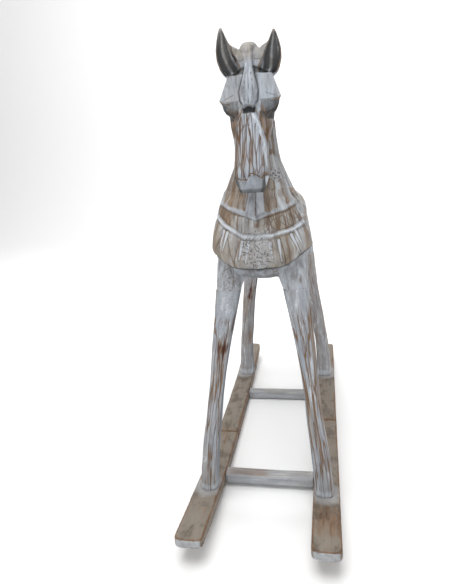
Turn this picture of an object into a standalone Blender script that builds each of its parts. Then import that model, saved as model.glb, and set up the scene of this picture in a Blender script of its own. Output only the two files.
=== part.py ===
"""A tall carved horse standing on two curved runners, glued up from separate blocks of soft wood.

The horse faces -Y, +Z is up, and its own left side is +X. The origin is on the floor under the middle.
Sections are given as (level, centre, centre, half width, half depth), in metres.
"""

import math

import bmesh
import bpy
from mathutils import Matrix, Vector

GAP = 0.0003
SLIP = 0.0003

RUNNER_X = 0.110
RUNNER_SPREAD = 0.012
RUNNER_WIDTH = 0.046
RUNNER_THICKNESS = 0.022
RUNNER_TIP_THICKNESS = 0.016
RUNNER_HALF_LENGTH = 0.425
RUNNER_LOW_Y = 0.02
RUNNER_FLAT_HALF = 0.07
RUNNER_RADIUS = 1.95
RUNNER_CORNER = 0.012
RUNNER_STEP = 0.035
RUNNER_THINNING_START = 0.3
LEFT_JOINT_Y = 0.0
RIGHT_JOINT_Y = -0.065

STRETCHER_HEIGHT = 0.021
STRETCHER_DEPTH = 0.026
STRETCHER_EDGE = 0.004
FRONT_STRETCHER_Y = -0.214
REAR_STRETCHER_Y = 0.143

BODY_SECTIONS = (
    (-0.224, 0, 0.478, 0.022, 0.032),
    (-0.217, 0, 0.478, 0.048, 0.047),
    (-0.202, 0, 0.474, 0.068, 0.063),
    (-0.175, 0, 0.474, 0.080, 0.072),
    (-0.140, 0, 0.476, 0.083, 0.075),
    (-0.090, 0, 0.473, 0.081, 0.073),
    (-0.030, 0, 0.468, 0.076, 0.067),
    (0.040, 0, 0.463, 0.072, 0.062),
    (0.110, 0, 0.465, 0.071, 0.064),
    (0.170, 0, 0.470, 0.073, 0.070),
    (0.220, 0, 0.475, 0.073, 0.070),
    (0.260, 0, 0.481, 0.065, 0.061),
    (0.285, 0, 0.486, 0.052, 0.049),
    (0.300, 0, 0.489, 0.040, 0.038),
)
COLLAR_SECTIONS = (
    (0.430, 0, -0.152, 0.074, 0.072),
    (0.444, 0, -0.152, 0.084, 0.078),
    (0.462, 0, -0.152, 0.0885, 0.079),
    (0.482, 0, -0.151, 0.086, 0.077),
    (0.502, 0, -0.150, 0.080, 0.074),
    (0.522, 0, -0.148, 0.072, 0.070),
    (0.545, 0, -0.146, 0.062, 0.064),
)
NECK_STUB_SECTIONS = (
    (0.500, 0, -0.124, 0.066, 0.088),
    (0.530, 0, -0.130, 0.062, 0.080),
    (0.560, 0, -0.133, 0.0545, 0.072),
)
SADDLE_SECTIONS = (
    (-0.010, 0, 0.478, 0.066, 0.053),
    (0.004, 0, 0.481, 0.071, 0.059),
    (0.028, 0, 0.475, 0.073, 0.058),
    (0.060, 0, 0.471, 0.074, 0.058),
    (0.094, 0, 0.475, 0.074, 0.061),
    (0.120, 0, 0.483, 0.073, 0.063),
    (0.134, 0, 0.479, 0.068, 0.058),
)
SHOULDER_SECTIONS = (
    (0.385, 0.060, -0.186, 0.0222, 0.0252),
    (0.405, 0.056, -0.179, 0.0255, 0.0290),
    (0.430, 0.051, -0.168, 0.0300, 0.0370),
    (0.470, 0.044, -0.152, 0.0320, 0.0460),
    (0.500, 0.040, -0.145, 0.0280, 0.0420),
)
HIP_SECTIONS = (
    (0.375, 0.066, 0.190, 0.0217, 0.0292),
    (0.400, 0.060, 0.190, 0.0255, 0.0370),
    (0.430, 0.052, 0.190, 0.0300, 0.0480),
    (0.470, 0.044, 0.190, 0.0310, 0.0540),
    (0.500, 0.040, 0.190, 0.0280, 0.0500),
)
NECK_SECTIONS = (
    (0.5603, 0, -0.145, 0.0540, 0.060),
    (0.575, 0, -0.147, 0.0475, 0.054),
    (0.595, 0, -0.150, 0.0410, 0.047),
    (0.620, 0, -0.151, 0.0360, 0.0415),
    (0.645, 0, -0.150, 0.0330, 0.038),
    (0.675, 0, -0.148, 0.0310, 0.036),
    (0.720, 0, -0.146, 0.0300, 0.035),
)
NECK_CREST_SECTIONS = (
    (0.5603, 0, -0.112, 0.0440, 0.062),
    (0.575, 0, -0.115, 0.0370, 0.055),
    (0.595, 0, -0.118, 0.0310, 0.047),
    (0.620, 0, -0.120, 0.0270, 0.041),
    (0.645, 0, -0.122, 0.0250, 0.037),
    (0.675, 0, -0.124, 0.0240, 0.034),
    (0.720, 0, -0.126, 0.0240, 0.032),
)
HEAD_SECTIONS = (
    (0.560, 0, -0.2465, 0.016, 0.0145),
    (0.572, 0, -0.2435, 0.022, 0.0205),
    (0.584, 0, -0.2405, 0.0255, 0.0235),
    (0.605, 0, -0.2335, 0.0235, 0.0235),
    (0.640, 0, -0.2180, 0.0260, 0.0230),
    (0.660, 0, -0.2050, 0.0330, 0.0310),
    (0.682, 0, -0.1960, 0.0400, 0.0320),
    (0.700, 0, -0.1920, 0.0480, 0.0320),
    (0.720, 0, -0.1880, 0.0405, 0.0310),
    (0.745, 0, -0.1840, 0.0345, 0.0280),
    (0.765, 0, -0.1820, 0.0290, 0.0240),
    (0.780, 0, -0.1830, 0.0200, 0.0170),
    (0.787, 0, -0.1840, 0.0100, 0.0090),
)
CREST_SECTIONS = (
    (0.640, 0, -0.152, 0.0290, 0.046),
    (0.680, 0, -0.150, 0.0300, 0.050),
    (0.710, 0, -0.150, 0.0300, 0.050),
    (0.740, 0, -0.153, 0.0270, 0.045),
    (0.765, 0, -0.160, 0.0210, 0.034),
    (0.778, 0, -0.168, 0.0120, 0.020),
)
EAR_SECTIONS = (
    (0.728, 0.025, -0.190, 0.014, 0.012),
    (0.740, 0.030, -0.196, 0.0160, 0.012),
    (0.758, 0.0345, -0.203, 0.0155, 0.011),
    (0.776, 0.037, -0.208, 0.0115, 0.009),
    (0.790, 0.0385, -0.211, 0.0065, 0.006),
    (0.800, 0.039, -0.213, 0.0014, 0.0014),
)
FRONT_LEG_SECTIONS = (
    (0.3847, 0.060, -0.186, 0.0230, 0.0250),
    (0.334, 0.068, -0.203, 0.0190, 0.0215),
    (0.282, 0.076, -0.217, 0.0160, 0.0185),
    (0.242, 0.081, -0.229, 0.0138, 0.0165),
    (0.202, 0.086, -0.240, 0.0130, 0.0158),
    (0.163, 0.090, -0.251, 0.0140, 0.0165),
    (0.124, 0.0955, -0.260, 0.0150, 0.0175),
    (0.080, 0.100, -0.267, 0.0155, 0.0180),
    (0.020, 0.1045, -0.272, 0.0158, 0.0185),
)
REAR_LEG_SECTIONS = (
    (0.3747, 0.068, 0.190, 0.0205, 0.0290),
    (0.330, 0.074, 0.190, 0.0180, 0.0250),
    (0.290, 0.079, 0.192, 0.0165, 0.0210),
    (0.250, 0.086, 0.203, 0.0160, 0.0190),
    (0.210, 0.092, 0.216, 0.0160, 0.0175),
    (0.170, 0.097, 0.229, 0.0160, 0.0165),
    (0.130, 0.103, 0.238, 0.0160, 0.0165),
    (0.085, 0.1065, 0.244, 0.0172, 0.0178),
    (0.020, 0.109, 0.246, 0.0205, 0.0200),
)
TAIL_SECTIONS = (
    (0.530, 0, 0.312, 0.008, 0.012),
    (0.515, 0, 0.318, 0.014, 0.020),
    (0.484, 0, 0.323, 0.018, 0.0235),
    (0.450, 0, 0.324, 0.019, 0.022),
    (0.410, 0, 0.321, 0.018, 0.0185),
    (0.370, 0, 0.316, 0.015, 0.014),
    (0.335, 0, 0.311, 0.008, 0.008),
)

THROAT = Vector((0, -0.191, 0.643))
HEAD_JOINT_TILT = math.radians(30)
SEAT_CUTTER_SIZE = 0.2
RUMP_FACE_Y = 0.300

NECK_DOWEL = (0.009, 0.060)
NECK_DOWEL_Y = -0.135
HEAD_DOWEL = (0.006, 0.044)
HEAD_DOWEL_SETBACK = 0.052
LEG_DOWEL = (0.006, 0.050)
TAIL_DOWEL = (0.004, 0.036)
STRETCHER_DOWEL = (0.0035, 0.028)
RUNNER_DOWEL = (0.0045, 0.050)
DOWEL_CHAMFER = 0.2
DOWEL_HOLE_SPARE = 0.002

SCREW_HEAD_RADIUS = 0.0045
SCREW_SHANK_RADIUS = 0.0022
SCREW_LENGTH = 0.045
SCREW_HEAD_HEIGHT = 0.004
SCREW_POINT = 0.006
SCREW_HOLE_SPARE = 0.001
BELOW_FLOOR = -0.01
SCREW_SINK = 0.003
TAIL_DOWEL_HEIGHT = 0.490

WHITEWASH = (0.42, 0.44, 0.46)
WARM_WASH = (0.43, 0.38, 0.32)
RUNNER_WOOD = (0.27, 0.23, 0.19)
BARE_WOOD = (0.45, 0.32, 0.20)
STEEL = (0.45, 0.45, 0.44)


def clear_scene():
    for obj in list(bpy.data.objects):
        bpy.data.objects.remove(obj)


def new_collection(name):
    collection = bpy.data.collections.new(name)
    bpy.context.scene.collection.children.link(collection)
    return collection


def finish_of(name, colour, roughness=0.7, metallic=0.0):
    """One Principled material of its own for the object of this name."""
    material = bpy.data.materials.new(f"{name}_finish")
    material.use_nodes = True
    shader = material.node_tree.nodes["Principled BSDF"]
    shader.inputs["Base Color"].default_value = (*colour, 1)
    shader.inputs["Roughness"].default_value = roughness
    shader.inputs["Metallic"].default_value = metallic
    return material


def object_of(name, bm, collection, colour=None, roughness=0.7, metallic=0.0):
    bmesh.ops.recalc_face_normals(bm, faces=bm.faces)
    mesh = bpy.data.meshes.new(name)
    bm.to_mesh(mesh)
    bm.free()
    mesh.shade_smooth()
    mesh.set_sharp_from_angle(angle=math.radians(35))
    obj = bpy.data.objects.new(name, mesh)
    collection.objects.link(obj)
    if colour is None:
        obj.hide_render = True
        obj.display_type = "WIRE"
    else:
        mesh.materials.append(finish_of(name, colour, roughness, metallic))
    return obj


def section_point(angle, half_u, half_v, squareness):
    """A point of a rounded section: squareness 2 gives an ellipse, and more gives flatter sides."""
    c = math.cos(angle)
    s = math.sin(angle)
    u = math.copysign(abs(c) ** (2 / squareness), c) * half_u
    v = math.copysign(abs(s) ** (2 / squareness), s) * half_v
    return u, v


def loft(sections, along="Z", sides=20, squareness=2.4, side=1):
    """A closed bmesh through unlike sections, stacked along Z or along Y."""
    bm = bmesh.new()
    rings = []
    for level, centre_u, centre_v, half_u, half_v in sections:
        ring = []
        for i in range(sides):
            angle = 2 * math.pi * (i + 0.5) / sides
            u, v = section_point(angle, half_u, half_v, squareness)
            u = side * (centre_u + u)
            v = centre_v + v
            ring.append(bm.verts.new((u, v, level) if along == "Z" else (u, level, v)))
        rings.append(ring)
    for lower, upper in zip(rings, rings[1:]):
        for i in range(sides):
            j = (i + 1) % sides
            bm.faces.new((lower[i], lower[j], upper[j], upper[i]))
    bm.faces.new(rings[0])
    bm.faces.new(rings[-1])
    return bm


def trim(bm, point, outward):
    """Cuts away what lies on the outward side of a plane, and closes the cut."""
    geometry = bm.verts[:] + bm.edges[:] + bm.faces[:]
    cut = bmesh.ops.bisect_plane(bm, geom=geometry, plane_co=point, plane_no=outward, clear_outer=True)
    edges = [item for item in cut["geom_cut"] if isinstance(item, bmesh.types.BMEdge)]
    bmesh.ops.contextual_create(bm, geom=edges)


def use_boolean(obj, other, operation):
    modifier = obj.modifiers.new(f"{operation.lower()}_{other.name}", "BOOLEAN")
    modifier.operation = operation
    modifier.solver = "EXACT"
    modifier.object = other


def union(obj, bm, name, helpers):
    use_boolean(obj, object_of(name, bm, helpers), "UNION")


def cylinder(radius, length, matrix, sides=12):
    bm = bmesh.new()
    bmesh.ops.create_cone(
        bm, cap_ends=True, segments=sides, radius1=radius, radius2=radius, depth=length, matrix=matrix
    )
    return bm


def aimed(centre, direction):
    """The matrix that puts a Z-aligned shape at centre, pointing along direction."""
    return Matrix.Translation(centre) @ direction.to_track_quat("Z", "Y").to_matrix().to_4x4()


def dowel(name, size, centre, direction, into, parts, helpers):
    """A dowel pin across a joint, in a blind hole in each of the pieces that it joins."""
    radius, length = size
    matrix = aimed(centre, direction)
    pin = cylinder(radius, length, matrix)
    ends = [face for face in pin.faces if len(face.verts) > 4]
    rims = {edge for face in ends for edge in face.edges}
    bmesh.ops.bevel(pin, geom=list(rims), offset=radius * DOWEL_CHAMFER, affect="EDGES", segments=1, profile=0.5)
    object_of(name, pin, parts, BARE_WOOD, 0.6)
    hole = cylinder(radius + SLIP, length + DOWEL_HOLE_SPARE, matrix)
    cutter = object_of(f"{name}_hole", hole, helpers)
    for piece in into:
        use_boolean(piece, cutter, "DIFFERENCE")


def runner_reach(y):
    """How far y lies past the flat middle stretch of the underside."""
    return max(0.0, abs(y - RUNNER_LOW_Y) - RUNNER_FLAT_HALF)


def runner_lift(y):
    """How far the underside has risen from the floor at y: flat in the middle, then an arc."""
    return RUNNER_RADIUS - math.sqrt(RUNNER_RADIUS**2 - runner_reach(y) ** 2)


def runner_slope(y):
    reach = runner_reach(y)
    return math.copysign(reach / math.sqrt(RUNNER_RADIUS**2 - reach**2), y - RUNNER_LOW_Y)


def runner_centre(y):
    """The runner's distance from the middle at y: the pair spreads a little towards the rear."""
    return RUNNER_X + RUNNER_SPREAD * y


def runner_depth(y):
    """The runner's thickness at y: full between the feet, thinner towards the tips."""
    reach = max(0.0, (abs(y) - RUNNER_THINNING_START) / (RUNNER_HALF_LENGTH - RUNNER_THINNING_START))
    return RUNNER_THICKNESS + (RUNNER_TIP_THICKNESS - RUNNER_THICKNESS) * reach**2


def runner_length(start, end, side):
    """A straight bar from start to end along Y, bent to the runner's curve, with rounded tips."""
    bm = bmesh.new()
    bmesh.ops.create_cube(bm, size=1)
    bmesh.ops.scale(bm, vec=(RUNNER_WIDTH, end - start, 1), verts=bm.verts)
    bmesh.ops.translate(bm, vec=(0, (start + end) / 2, 0.5), verts=bm.verts)
    tips = [
        edge
        for edge in bm.edges
        if all(abs(abs(v.co.y) - RUNNER_HALF_LENGTH) < 1e-5 for v in edge.verts)
        and abs(edge.verts[0].co.x - edge.verts[1].co.x) < 1e-6
    ]
    bmesh.ops.bevel(bm, geom=tips, offset=RUNNER_CORNER, affect="EDGES", segments=4, profile=0.5)
    steps = max(2, round((end - start) / RUNNER_STEP))
    for i in range(1, steps):
        y = start + (end - start) * i / steps
        if abs(abs(y) - RUNNER_HALF_LENGTH) > RUNNER_CORNER + 0.004:
            geometry = bm.verts[:] + bm.edges[:] + bm.faces[:]
            bmesh.ops.bisect_plane(bm, geom=geometry, plane_co=(0, y, 0), plane_no=(0, 1, 0))
    for vert in bm.verts:
        y = vert.co.y
        vert.co.z = runner_lift(y) + vert.co.z * runner_depth(y)
        vert.co.x = side * (runner_centre(y) + vert.co.x)
    return bm


def make_runner(side_name, side, joint_y, parts):
    pieces = []
    for end_name, start, end in (
        ("front", -RUNNER_HALF_LENGTH, joint_y - GAP / 2),
        ("rear", joint_y + GAP / 2, RUNNER_HALF_LENGTH),
    ):
        bm = runner_length(start, end, side)
        pieces.append(object_of(f"{side_name}_runner_{end_name}", bm, parts, RUNNER_WOOD, 0.65))
    return pieces


def make_stretcher(name, y, parts):
    """A bar between the runners, its ends butted against their inner sides."""
    reach = runner_centre(y - STRETCHER_DEPTH / 2) - RUNNER_WIDTH / 2 - GAP
    bm = bmesh.new()
    bmesh.ops.create_cube(bm, size=1)
    bmesh.ops.scale(bm, vec=(2 * reach, STRETCHER_DEPTH, STRETCHER_HEIGHT), verts=bm.verts)
    long_edges = [e for e in bm.edges if abs(e.verts[0].co.x - e.verts[1].co.x) > reach]
    bmesh.ops.bevel(bm, geom=long_edges, offset=STRETCHER_EDGE, affect="EDGES", segments=2, profile=0.5)
    height = runner_lift(y) + RUNNER_THICKNESS / 2
    bmesh.ops.translate(bm, vec=(0, y, height), verts=bm.verts)
    return object_of(name, bm, parts, WARM_WASH)


def make_body(parts, helpers):
    body = object_of("body_block", loft(BODY_SECTIONS, "Y", 24), parts, WHITEWASH)
    union(body, loft(COLLAR_SECTIONS, "Z", 32, 2.5), "collar_shape", helpers)
    union(body, loft(NECK_STUB_SECTIONS, "Z", 24), "neck_stub_shape", helpers)
    union(body, loft(SADDLE_SECTIONS, "Y", 24, 2.3), "saddle_shape", helpers)
    for side_name, side in (("left", 1), ("right", -1)):
        shoulder = loft(SHOULDER_SECTIONS, "Z", 16, 2.4, side)
        union(body, shoulder, f"{side_name}_shoulder_shape", helpers)
        hip = loft(HIP_SECTIONS, "Z", 16, 2.4, side)
        union(body, hip, f"{side_name}_hip_shape", helpers)
    return body


def make_neck(parts, helpers):
    """The neck, a broad column with a narrower crest behind it, under the sloping joint of the head."""
    up = Matrix.Rotation(HEAD_JOINT_TILT, 3, "X") @ Vector((0, 0, 1))
    column = loft(NECK_SECTIONS)
    crest = loft(NECK_CREST_SECTIONS)
    for bm in (column, crest):
        trim(bm, THROAT - up * GAP, up)
    neck = object_of("neck_block", column, parts, WHITEWASH)
    union(neck, crest, "neck_crest_shape", helpers)
    return neck


def make_head(parts, helpers):
    head = object_of("head_block", loft(HEAD_SECTIONS, "Z", 24), parts, WHITEWASH)
    union(head, loft(CREST_SECTIONS), "crest_shape", helpers)
    for side_name, side in (("left", 1), ("right", -1)):
        union(head, loft(EAR_SECTIONS, "Z", 12, 2, side), f"{side_name}_ear_shape", helpers)
    seat = bmesh.new()
    bmesh.ops.create_cube(seat, size=SEAT_CUTTER_SIZE)
    bmesh.ops.translate(seat, vec=(0, SEAT_CUTTER_SIZE / 2, -SEAT_CUTTER_SIZE / 2), verts=seat.verts)
    turn = Matrix.Translation(THROAT) @ Matrix.Rotation(HEAD_JOINT_TILT, 4, "X")
    bmesh.ops.transform(seat, matrix=turn, verts=seat.verts)
    use_boolean(head, object_of("neck_seat_cutter", seat, helpers), "DIFFERENCE")
    return head


def make_leg(name, sections, side, parts):
    """A leg down to its foot, cut to the slope of the runner's upper face."""
    bm = loft(sections, "Z", 16, 2.5, side)
    foot_y = sections[-1][2]
    normal = Vector((0, -runner_slope(foot_y), 1)).normalized()
    top = runner_lift(foot_y) + runner_depth(foot_y)
    trim(bm, Vector((0, foot_y, top + GAP)), -normal)
    return object_of(name, bm, parts, WHITEWASH)


def make_tail(parts):
    bm = loft(TAIL_SECTIONS, "Z", 16)
    trim(bm, Vector((0, RUMP_FACE_Y + GAP, 0)), Vector((0, -1, 0)))
    return object_of("tail", bm, parts, WHITEWASH)


def turned(name, profile, centre, collection, colour=None, metallic=0.0):
    """A turned shape about a vertical axis, from a profile that runs down its outer side."""
    mesh = bpy.data.meshes.new(name)
    points = [(radius, 0, height) for radius, height in profile]
    mesh.from_pydata(points, [(i, i + 1) for i in range(len(points) - 1)], [])
    obj = bpy.data.objects.new(name, mesh)
    collection.objects.link(obj)
    obj.location = centre
    screw = obj.modifiers.new("turn", "SCREW")
    screw.steps = 12
    screw.render_steps = 12
    screw.use_merge_vertices = True
    screw.merge_threshold = 0.00001
    if colour is None:
        obj.hide_render = True
        obj.display_type = "WIRE"
    else:
        mesh.materials.append(finish_of(name, colour, 0.4, metallic))
    return obj


def foot_screw(name, x, y, runner, leg, parts, helpers):
    """A countersunk screw up through the runner into the end of the leg, and the hole that it sits in."""
    seat = runner_lift(y) + SCREW_SINK
    neck = seat + SCREW_HEAD_HEIGHT
    tip = seat + SCREW_LENGTH
    screw_profile = (
        (0, tip),
        (SCREW_SHANK_RADIUS, tip - SCREW_POINT),
        (SCREW_SHANK_RADIUS, neck),
        (SCREW_HEAD_RADIUS, seat),
        (0, seat),
    )
    turned(name, screw_profile, (x, y, 0), parts, STEEL, 1.0)
    hole_profile = (
        (0, tip + SCREW_HOLE_SPARE),
        (SCREW_SHANK_RADIUS + SLIP, tip - SCREW_POINT),
        (SCREW_SHANK_RADIUS + SLIP, neck + SLIP),
        (SCREW_HEAD_RADIUS + SLIP, seat),
        (SCREW_HEAD_RADIUS + SLIP, BELOW_FLOOR),
        (0, BELOW_FLOOR),
    )
    hole = turned(f"{name}_hole", hole_profile, (x, y, 0), helpers)
    use_boolean(runner, hole, "DIFFERENCE")
    use_boolean(leg, hole, "DIFFERENCE")


def main():
    clear_scene()
    parts = new_collection("carved_rocking_horse")
    helpers = new_collection("cutters")
    body = make_body(parts, helpers)
    neck = make_neck(parts, helpers)
    head = make_head(parts, helpers)
    tail = make_tail(parts)
    neck_joint = Vector((0, NECK_DOWEL_Y, NECK_STUB_SECTIONS[-1][0]))
    dowel("neck_dowel", NECK_DOWEL, neck_joint, Vector((0, 0, 1)), (body, neck), parts, helpers)
    up = Matrix.Rotation(HEAD_JOINT_TILT, 3, "X") @ Vector((0, 0, 1))
    back = Matrix.Rotation(HEAD_JOINT_TILT, 3, "X") @ Vector((0, 1, 0))
    dowel("head_dowel", HEAD_DOWEL, THROAT + back * HEAD_DOWEL_SETBACK, up, (neck, head), parts, helpers)
    rump = Vector((0, RUMP_FACE_Y, TAIL_DOWEL_HEIGHT))
    dowel("tail_dowel", TAIL_DOWEL, rump, Vector((0, 1, 0)), (body, tail), parts, helpers)
    for side_name, side, joint_y in (("left", 1, LEFT_JOINT_Y), ("right", -1, RIGHT_JOINT_Y)):
        runner = make_runner(side_name, side, joint_y, parts)
        joint = Vector((side * runner_centre(joint_y), joint_y, runner_lift(joint_y) + RUNNER_THICKNESS / 2))
        along = Vector((0, 1, runner_slope(joint_y)))
        dowel(f"{side_name}_runner_dowel", RUNNER_DOWEL, joint, along, runner, parts, helpers)
        for end, end_name, sections in ((0, "front", FRONT_LEG_SECTIONS), (1, "rear", REAR_LEG_SECTIONS)):
            leg_name = f"{end_name}_{side_name}_leg"
            leg = make_leg(leg_name, sections, side, parts)
            top = Vector((side * sections[0][1], sections[0][2], sections[0][0]))
            next_down = Vector((side * sections[1][1], sections[1][2], sections[1][0]))
            dowel(f"{leg_name}_dowel", LEG_DOWEL, top, top - next_down, (body, leg), parts, helpers)
            foot_x = side * sections[-1][1]
            foot_screw(f"{end_name}_{side_name}_foot_screw", foot_x, sections[-1][2], runner[end], leg, parts, helpers)
        for end_name, y in (("front", FRONT_STRETCHER_Y), ("rear", REAR_STRETCHER_Y)):
            if side == 1:
                make_stretcher(f"{end_name}_stretcher", y, parts)
            stretcher = parts.objects[f"{end_name}_stretcher"]
            end = Vector((side * (runner_centre(y) - RUNNER_WIDTH / 2), y, runner_lift(y) + RUNNER_THICKNESS / 2))
            holder = runner[0] if y < joint_y else runner[1]
            pin = f"{end_name}_stretcher_{side_name}_dowel"
            dowel(pin, STRETCHER_DOWEL, end, Vector((side, 0, 0)), (stretcher, holder), parts, helpers)


main()
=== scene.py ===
import math

import bmesh
import bpy
import numpy as np
from mathutils import Matrix, Vector


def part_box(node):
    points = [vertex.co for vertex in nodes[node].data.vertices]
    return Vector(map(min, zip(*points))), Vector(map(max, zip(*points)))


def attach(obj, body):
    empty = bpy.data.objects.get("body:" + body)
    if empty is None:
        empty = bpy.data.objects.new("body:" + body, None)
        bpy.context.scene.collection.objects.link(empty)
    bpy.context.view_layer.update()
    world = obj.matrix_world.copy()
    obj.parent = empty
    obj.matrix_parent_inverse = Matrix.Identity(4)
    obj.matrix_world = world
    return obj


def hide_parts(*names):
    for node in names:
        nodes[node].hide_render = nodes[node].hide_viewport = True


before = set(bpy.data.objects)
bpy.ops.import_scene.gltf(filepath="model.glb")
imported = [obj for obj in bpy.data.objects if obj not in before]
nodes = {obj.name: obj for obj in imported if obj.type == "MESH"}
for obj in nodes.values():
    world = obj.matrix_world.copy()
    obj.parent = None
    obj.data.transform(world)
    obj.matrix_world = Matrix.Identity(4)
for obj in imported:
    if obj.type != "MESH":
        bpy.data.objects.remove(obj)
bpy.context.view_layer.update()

scene = bpy.context.scene


# values for every point of a mesh at once

def ramp(value, low, high):
    # 0 up to low, 1 from high, smooth between
    part = np.clip((value - low) / (high - low), 0, 1)
    return part * part * (3 - 2 * part)


def rounded(distance, width):
    # 1 on the line, 0 one width away from it
    return np.clip(1 - (distance / width) ** 2, 0, 1) ** 2


def alongRows(level, rows, column):
    # the value of one column of a table, at each level given in its first column
    table = np.array(rows, float)
    return np.interp(level, table[:, 0], table[:, column])


def latticeNoise(points, seed):
    # smooth noise from 0 to 1, with one cell to a unit
    cell = np.floor(points).astype(np.int64)
    part = points - cell
    part = part * part * (3 - 2 * part)
    total = np.zeros(len(points))
    for corner in range(8):
        step = np.array([corner & 1, corner >> 1 & 1, corner >> 2 & 1])
        place = cell + step
        key = place[:, 0] * 73856093 ^ place[:, 1] * 19349663 ^ place[:, 2] * 83492791 ^ seed * 6542989
        key = (key ^ (key >> 13)) * 1274126177 & 0x7fffffff
        key = (key ^ (key >> 15)) * 40503 & 0x7fffffff
        weight = np.prod(np.where(step, part, 1 - part), axis=1)
        total += weight * ((key >> 8) & 1023) / 1023
    return total


def roughness(points, scale, seed, octaves=2):
    # noise from -1 to 1, at a scale given along each axis
    total, size, reach = np.zeros(len(points)), 1.0, 0.0
    for octave in range(octaves):
        total += size * (latticeNoise(points * np.array(scale) * 2 ** octave, seed + octave) * 2 - 1)
        reach += size
        size *= 0.5
    return total / reach


def distanceToPath(points, path):
    # distance to a line of points, and how far along it from 0 to 1
    path = np.array(path, float)
    nearest = np.full(len(points), np.inf)
    along = np.zeros(len(points))
    for i in range(len(path) - 1):
        step = path[i + 1] - path[i]
        part = np.clip(((points - path[i]) @ step) / (step @ step), 0, 1)
        gap = np.linalg.norm(points - path[i] - part[:, None] * step, axis=1)
        closer = gap < nearest
        nearest[closer] = gap[closer]
        along[closer] = (i + part[closer]) / (len(path) - 1)
    return nearest, along


def nearPaths(across, up, rows, where=1.0):
    # 1 on any of the lines, 0 a width away, from rows of (width, points)
    flat = np.stack([across, up], axis=1)
    return np.max([rounded(distanceToPath(flat, path)[0], width) * where for width, path in rows], axis=0)


def placesOf(mesh):
    places = np.empty(len(mesh.vertices) * 3, np.float32)
    mesh.vertices.foreach_get("co", places)
    return places.reshape(-1, 3).astype(float)


def normalsOf(mesh):
    directions = np.empty(len(mesh.vertices) * 3, np.float32)
    mesh.vertex_normals.foreach_get("vector", directions)
    return directions.reshape(-1, 3).astype(float)


def measured(mesh, origin=(0, 0, 0)):
    # each point's place about the origin, and the way it faces
    return placesOf(mesh) - origin, normalsOf(mesh)


def movePlaces(mesh, places):
    mesh.vertices.foreach_set("co", places.astype(np.float32).ravel())
    mesh.update()


def raiseBy(mesh, height):
    movePlaces(mesh, placesOf(mesh) + normalsOf(mesh) * height[:, None])


def paint(mesh, grain, **layers):
    # the layers that the wood finish reads, and each point's place across, across and along the grain
    # one of these layers holds painted shade, not a mark on the wood
    for name in ("bare", "edge", "dark", "hollow", "filler", "lines", "warm"):
        layer = mesh.attributes.new(name, "FLOAT", "POINT")
        values = layers.get(name, 0.0) + np.zeros(len(mesh.vertices))
        layer.data.foreach_set("value", values.astype(np.float32))
    layer = mesh.attributes.new("grain", "FLOAT_VECTOR", "POINT")
    layer.data.foreach_set("vector", grain.astype(np.float32).ravel())


def sharpness(mesh, rounds):
    # above 0 on outer edges, below 0 in hollows, spread over a few neighbours
    ends = np.empty(len(mesh.edges) * 2, np.int32)
    mesh.edges.foreach_get("vertices", ends)
    ends = ends.reshape(-1, 2)
    count = np.bincount(ends.ravel(), minlength=len(mesh.vertices)).clip(1)

    def neighbourMean(values):
        total = np.bincount(ends[:, 0], values[ends[:, 1]], len(count))
        return (total + np.bincount(ends[:, 1], values[ends[:, 0]], len(count))) / count

    places, normals = measured(mesh)
    mean = places.copy()
    for _ in range(rounds):
        mean = np.stack([neighbourMean(mean[:, axis]) for axis in range(3)], axis=1)
    bulge = ((places - mean) * normals).sum(axis=1)
    for _ in range(2):
        bulge = (bulge + neighbourMean(bulge)) / 2
    return bulge


# making a piece

def weldedCopy(node):
    bm = bmesh.new()
    bm.from_mesh(nodes[node].data)
    bmesh.ops.remove_doubles(bm, verts=bm.verts, dist=0.00002)
    return bm


def smoothed(bm, verts, rounds):
    for _ in range(rounds):
        bmesh.ops.smooth_vert(bm, verts=verts, factor=0.5, use_axis_x=True, use_axis_y=True, use_axis_z=True)


def fused(bm, name, voxel, smoothing):
    # one closed skin of even small faces over everything in the mesh
    rough = bpy.data.objects.new(name + "Rough", bpy.data.meshes.new(name + "Rough"))
    scene.collection.objects.link(rough)
    bm.to_mesh(rough.data)
    bm.free()
    skin = rough.modifiers.new("skin", "REMESH")
    skin.mode = "VOXEL"
    skin.voxel_size = voxel
    made = bpy.data.meshes.new_from_object(rough.evaluated_get(bpy.context.evaluated_depsgraph_get()))
    bpy.data.objects.remove(rough)
    bm = bmesh.new()
    bm.from_mesh(made)
    smoothed(bm, bm.verts, smoothing)
    bm.to_mesh(made)
    bm.free()
    made.name = name
    piece = bpy.data.objects.new(name, made)
    scene.collection.objects.link(piece)
    return piece


def pieceName(kind, node):
    return kind + "".join(word.title() for word in node.split("_"))


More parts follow.
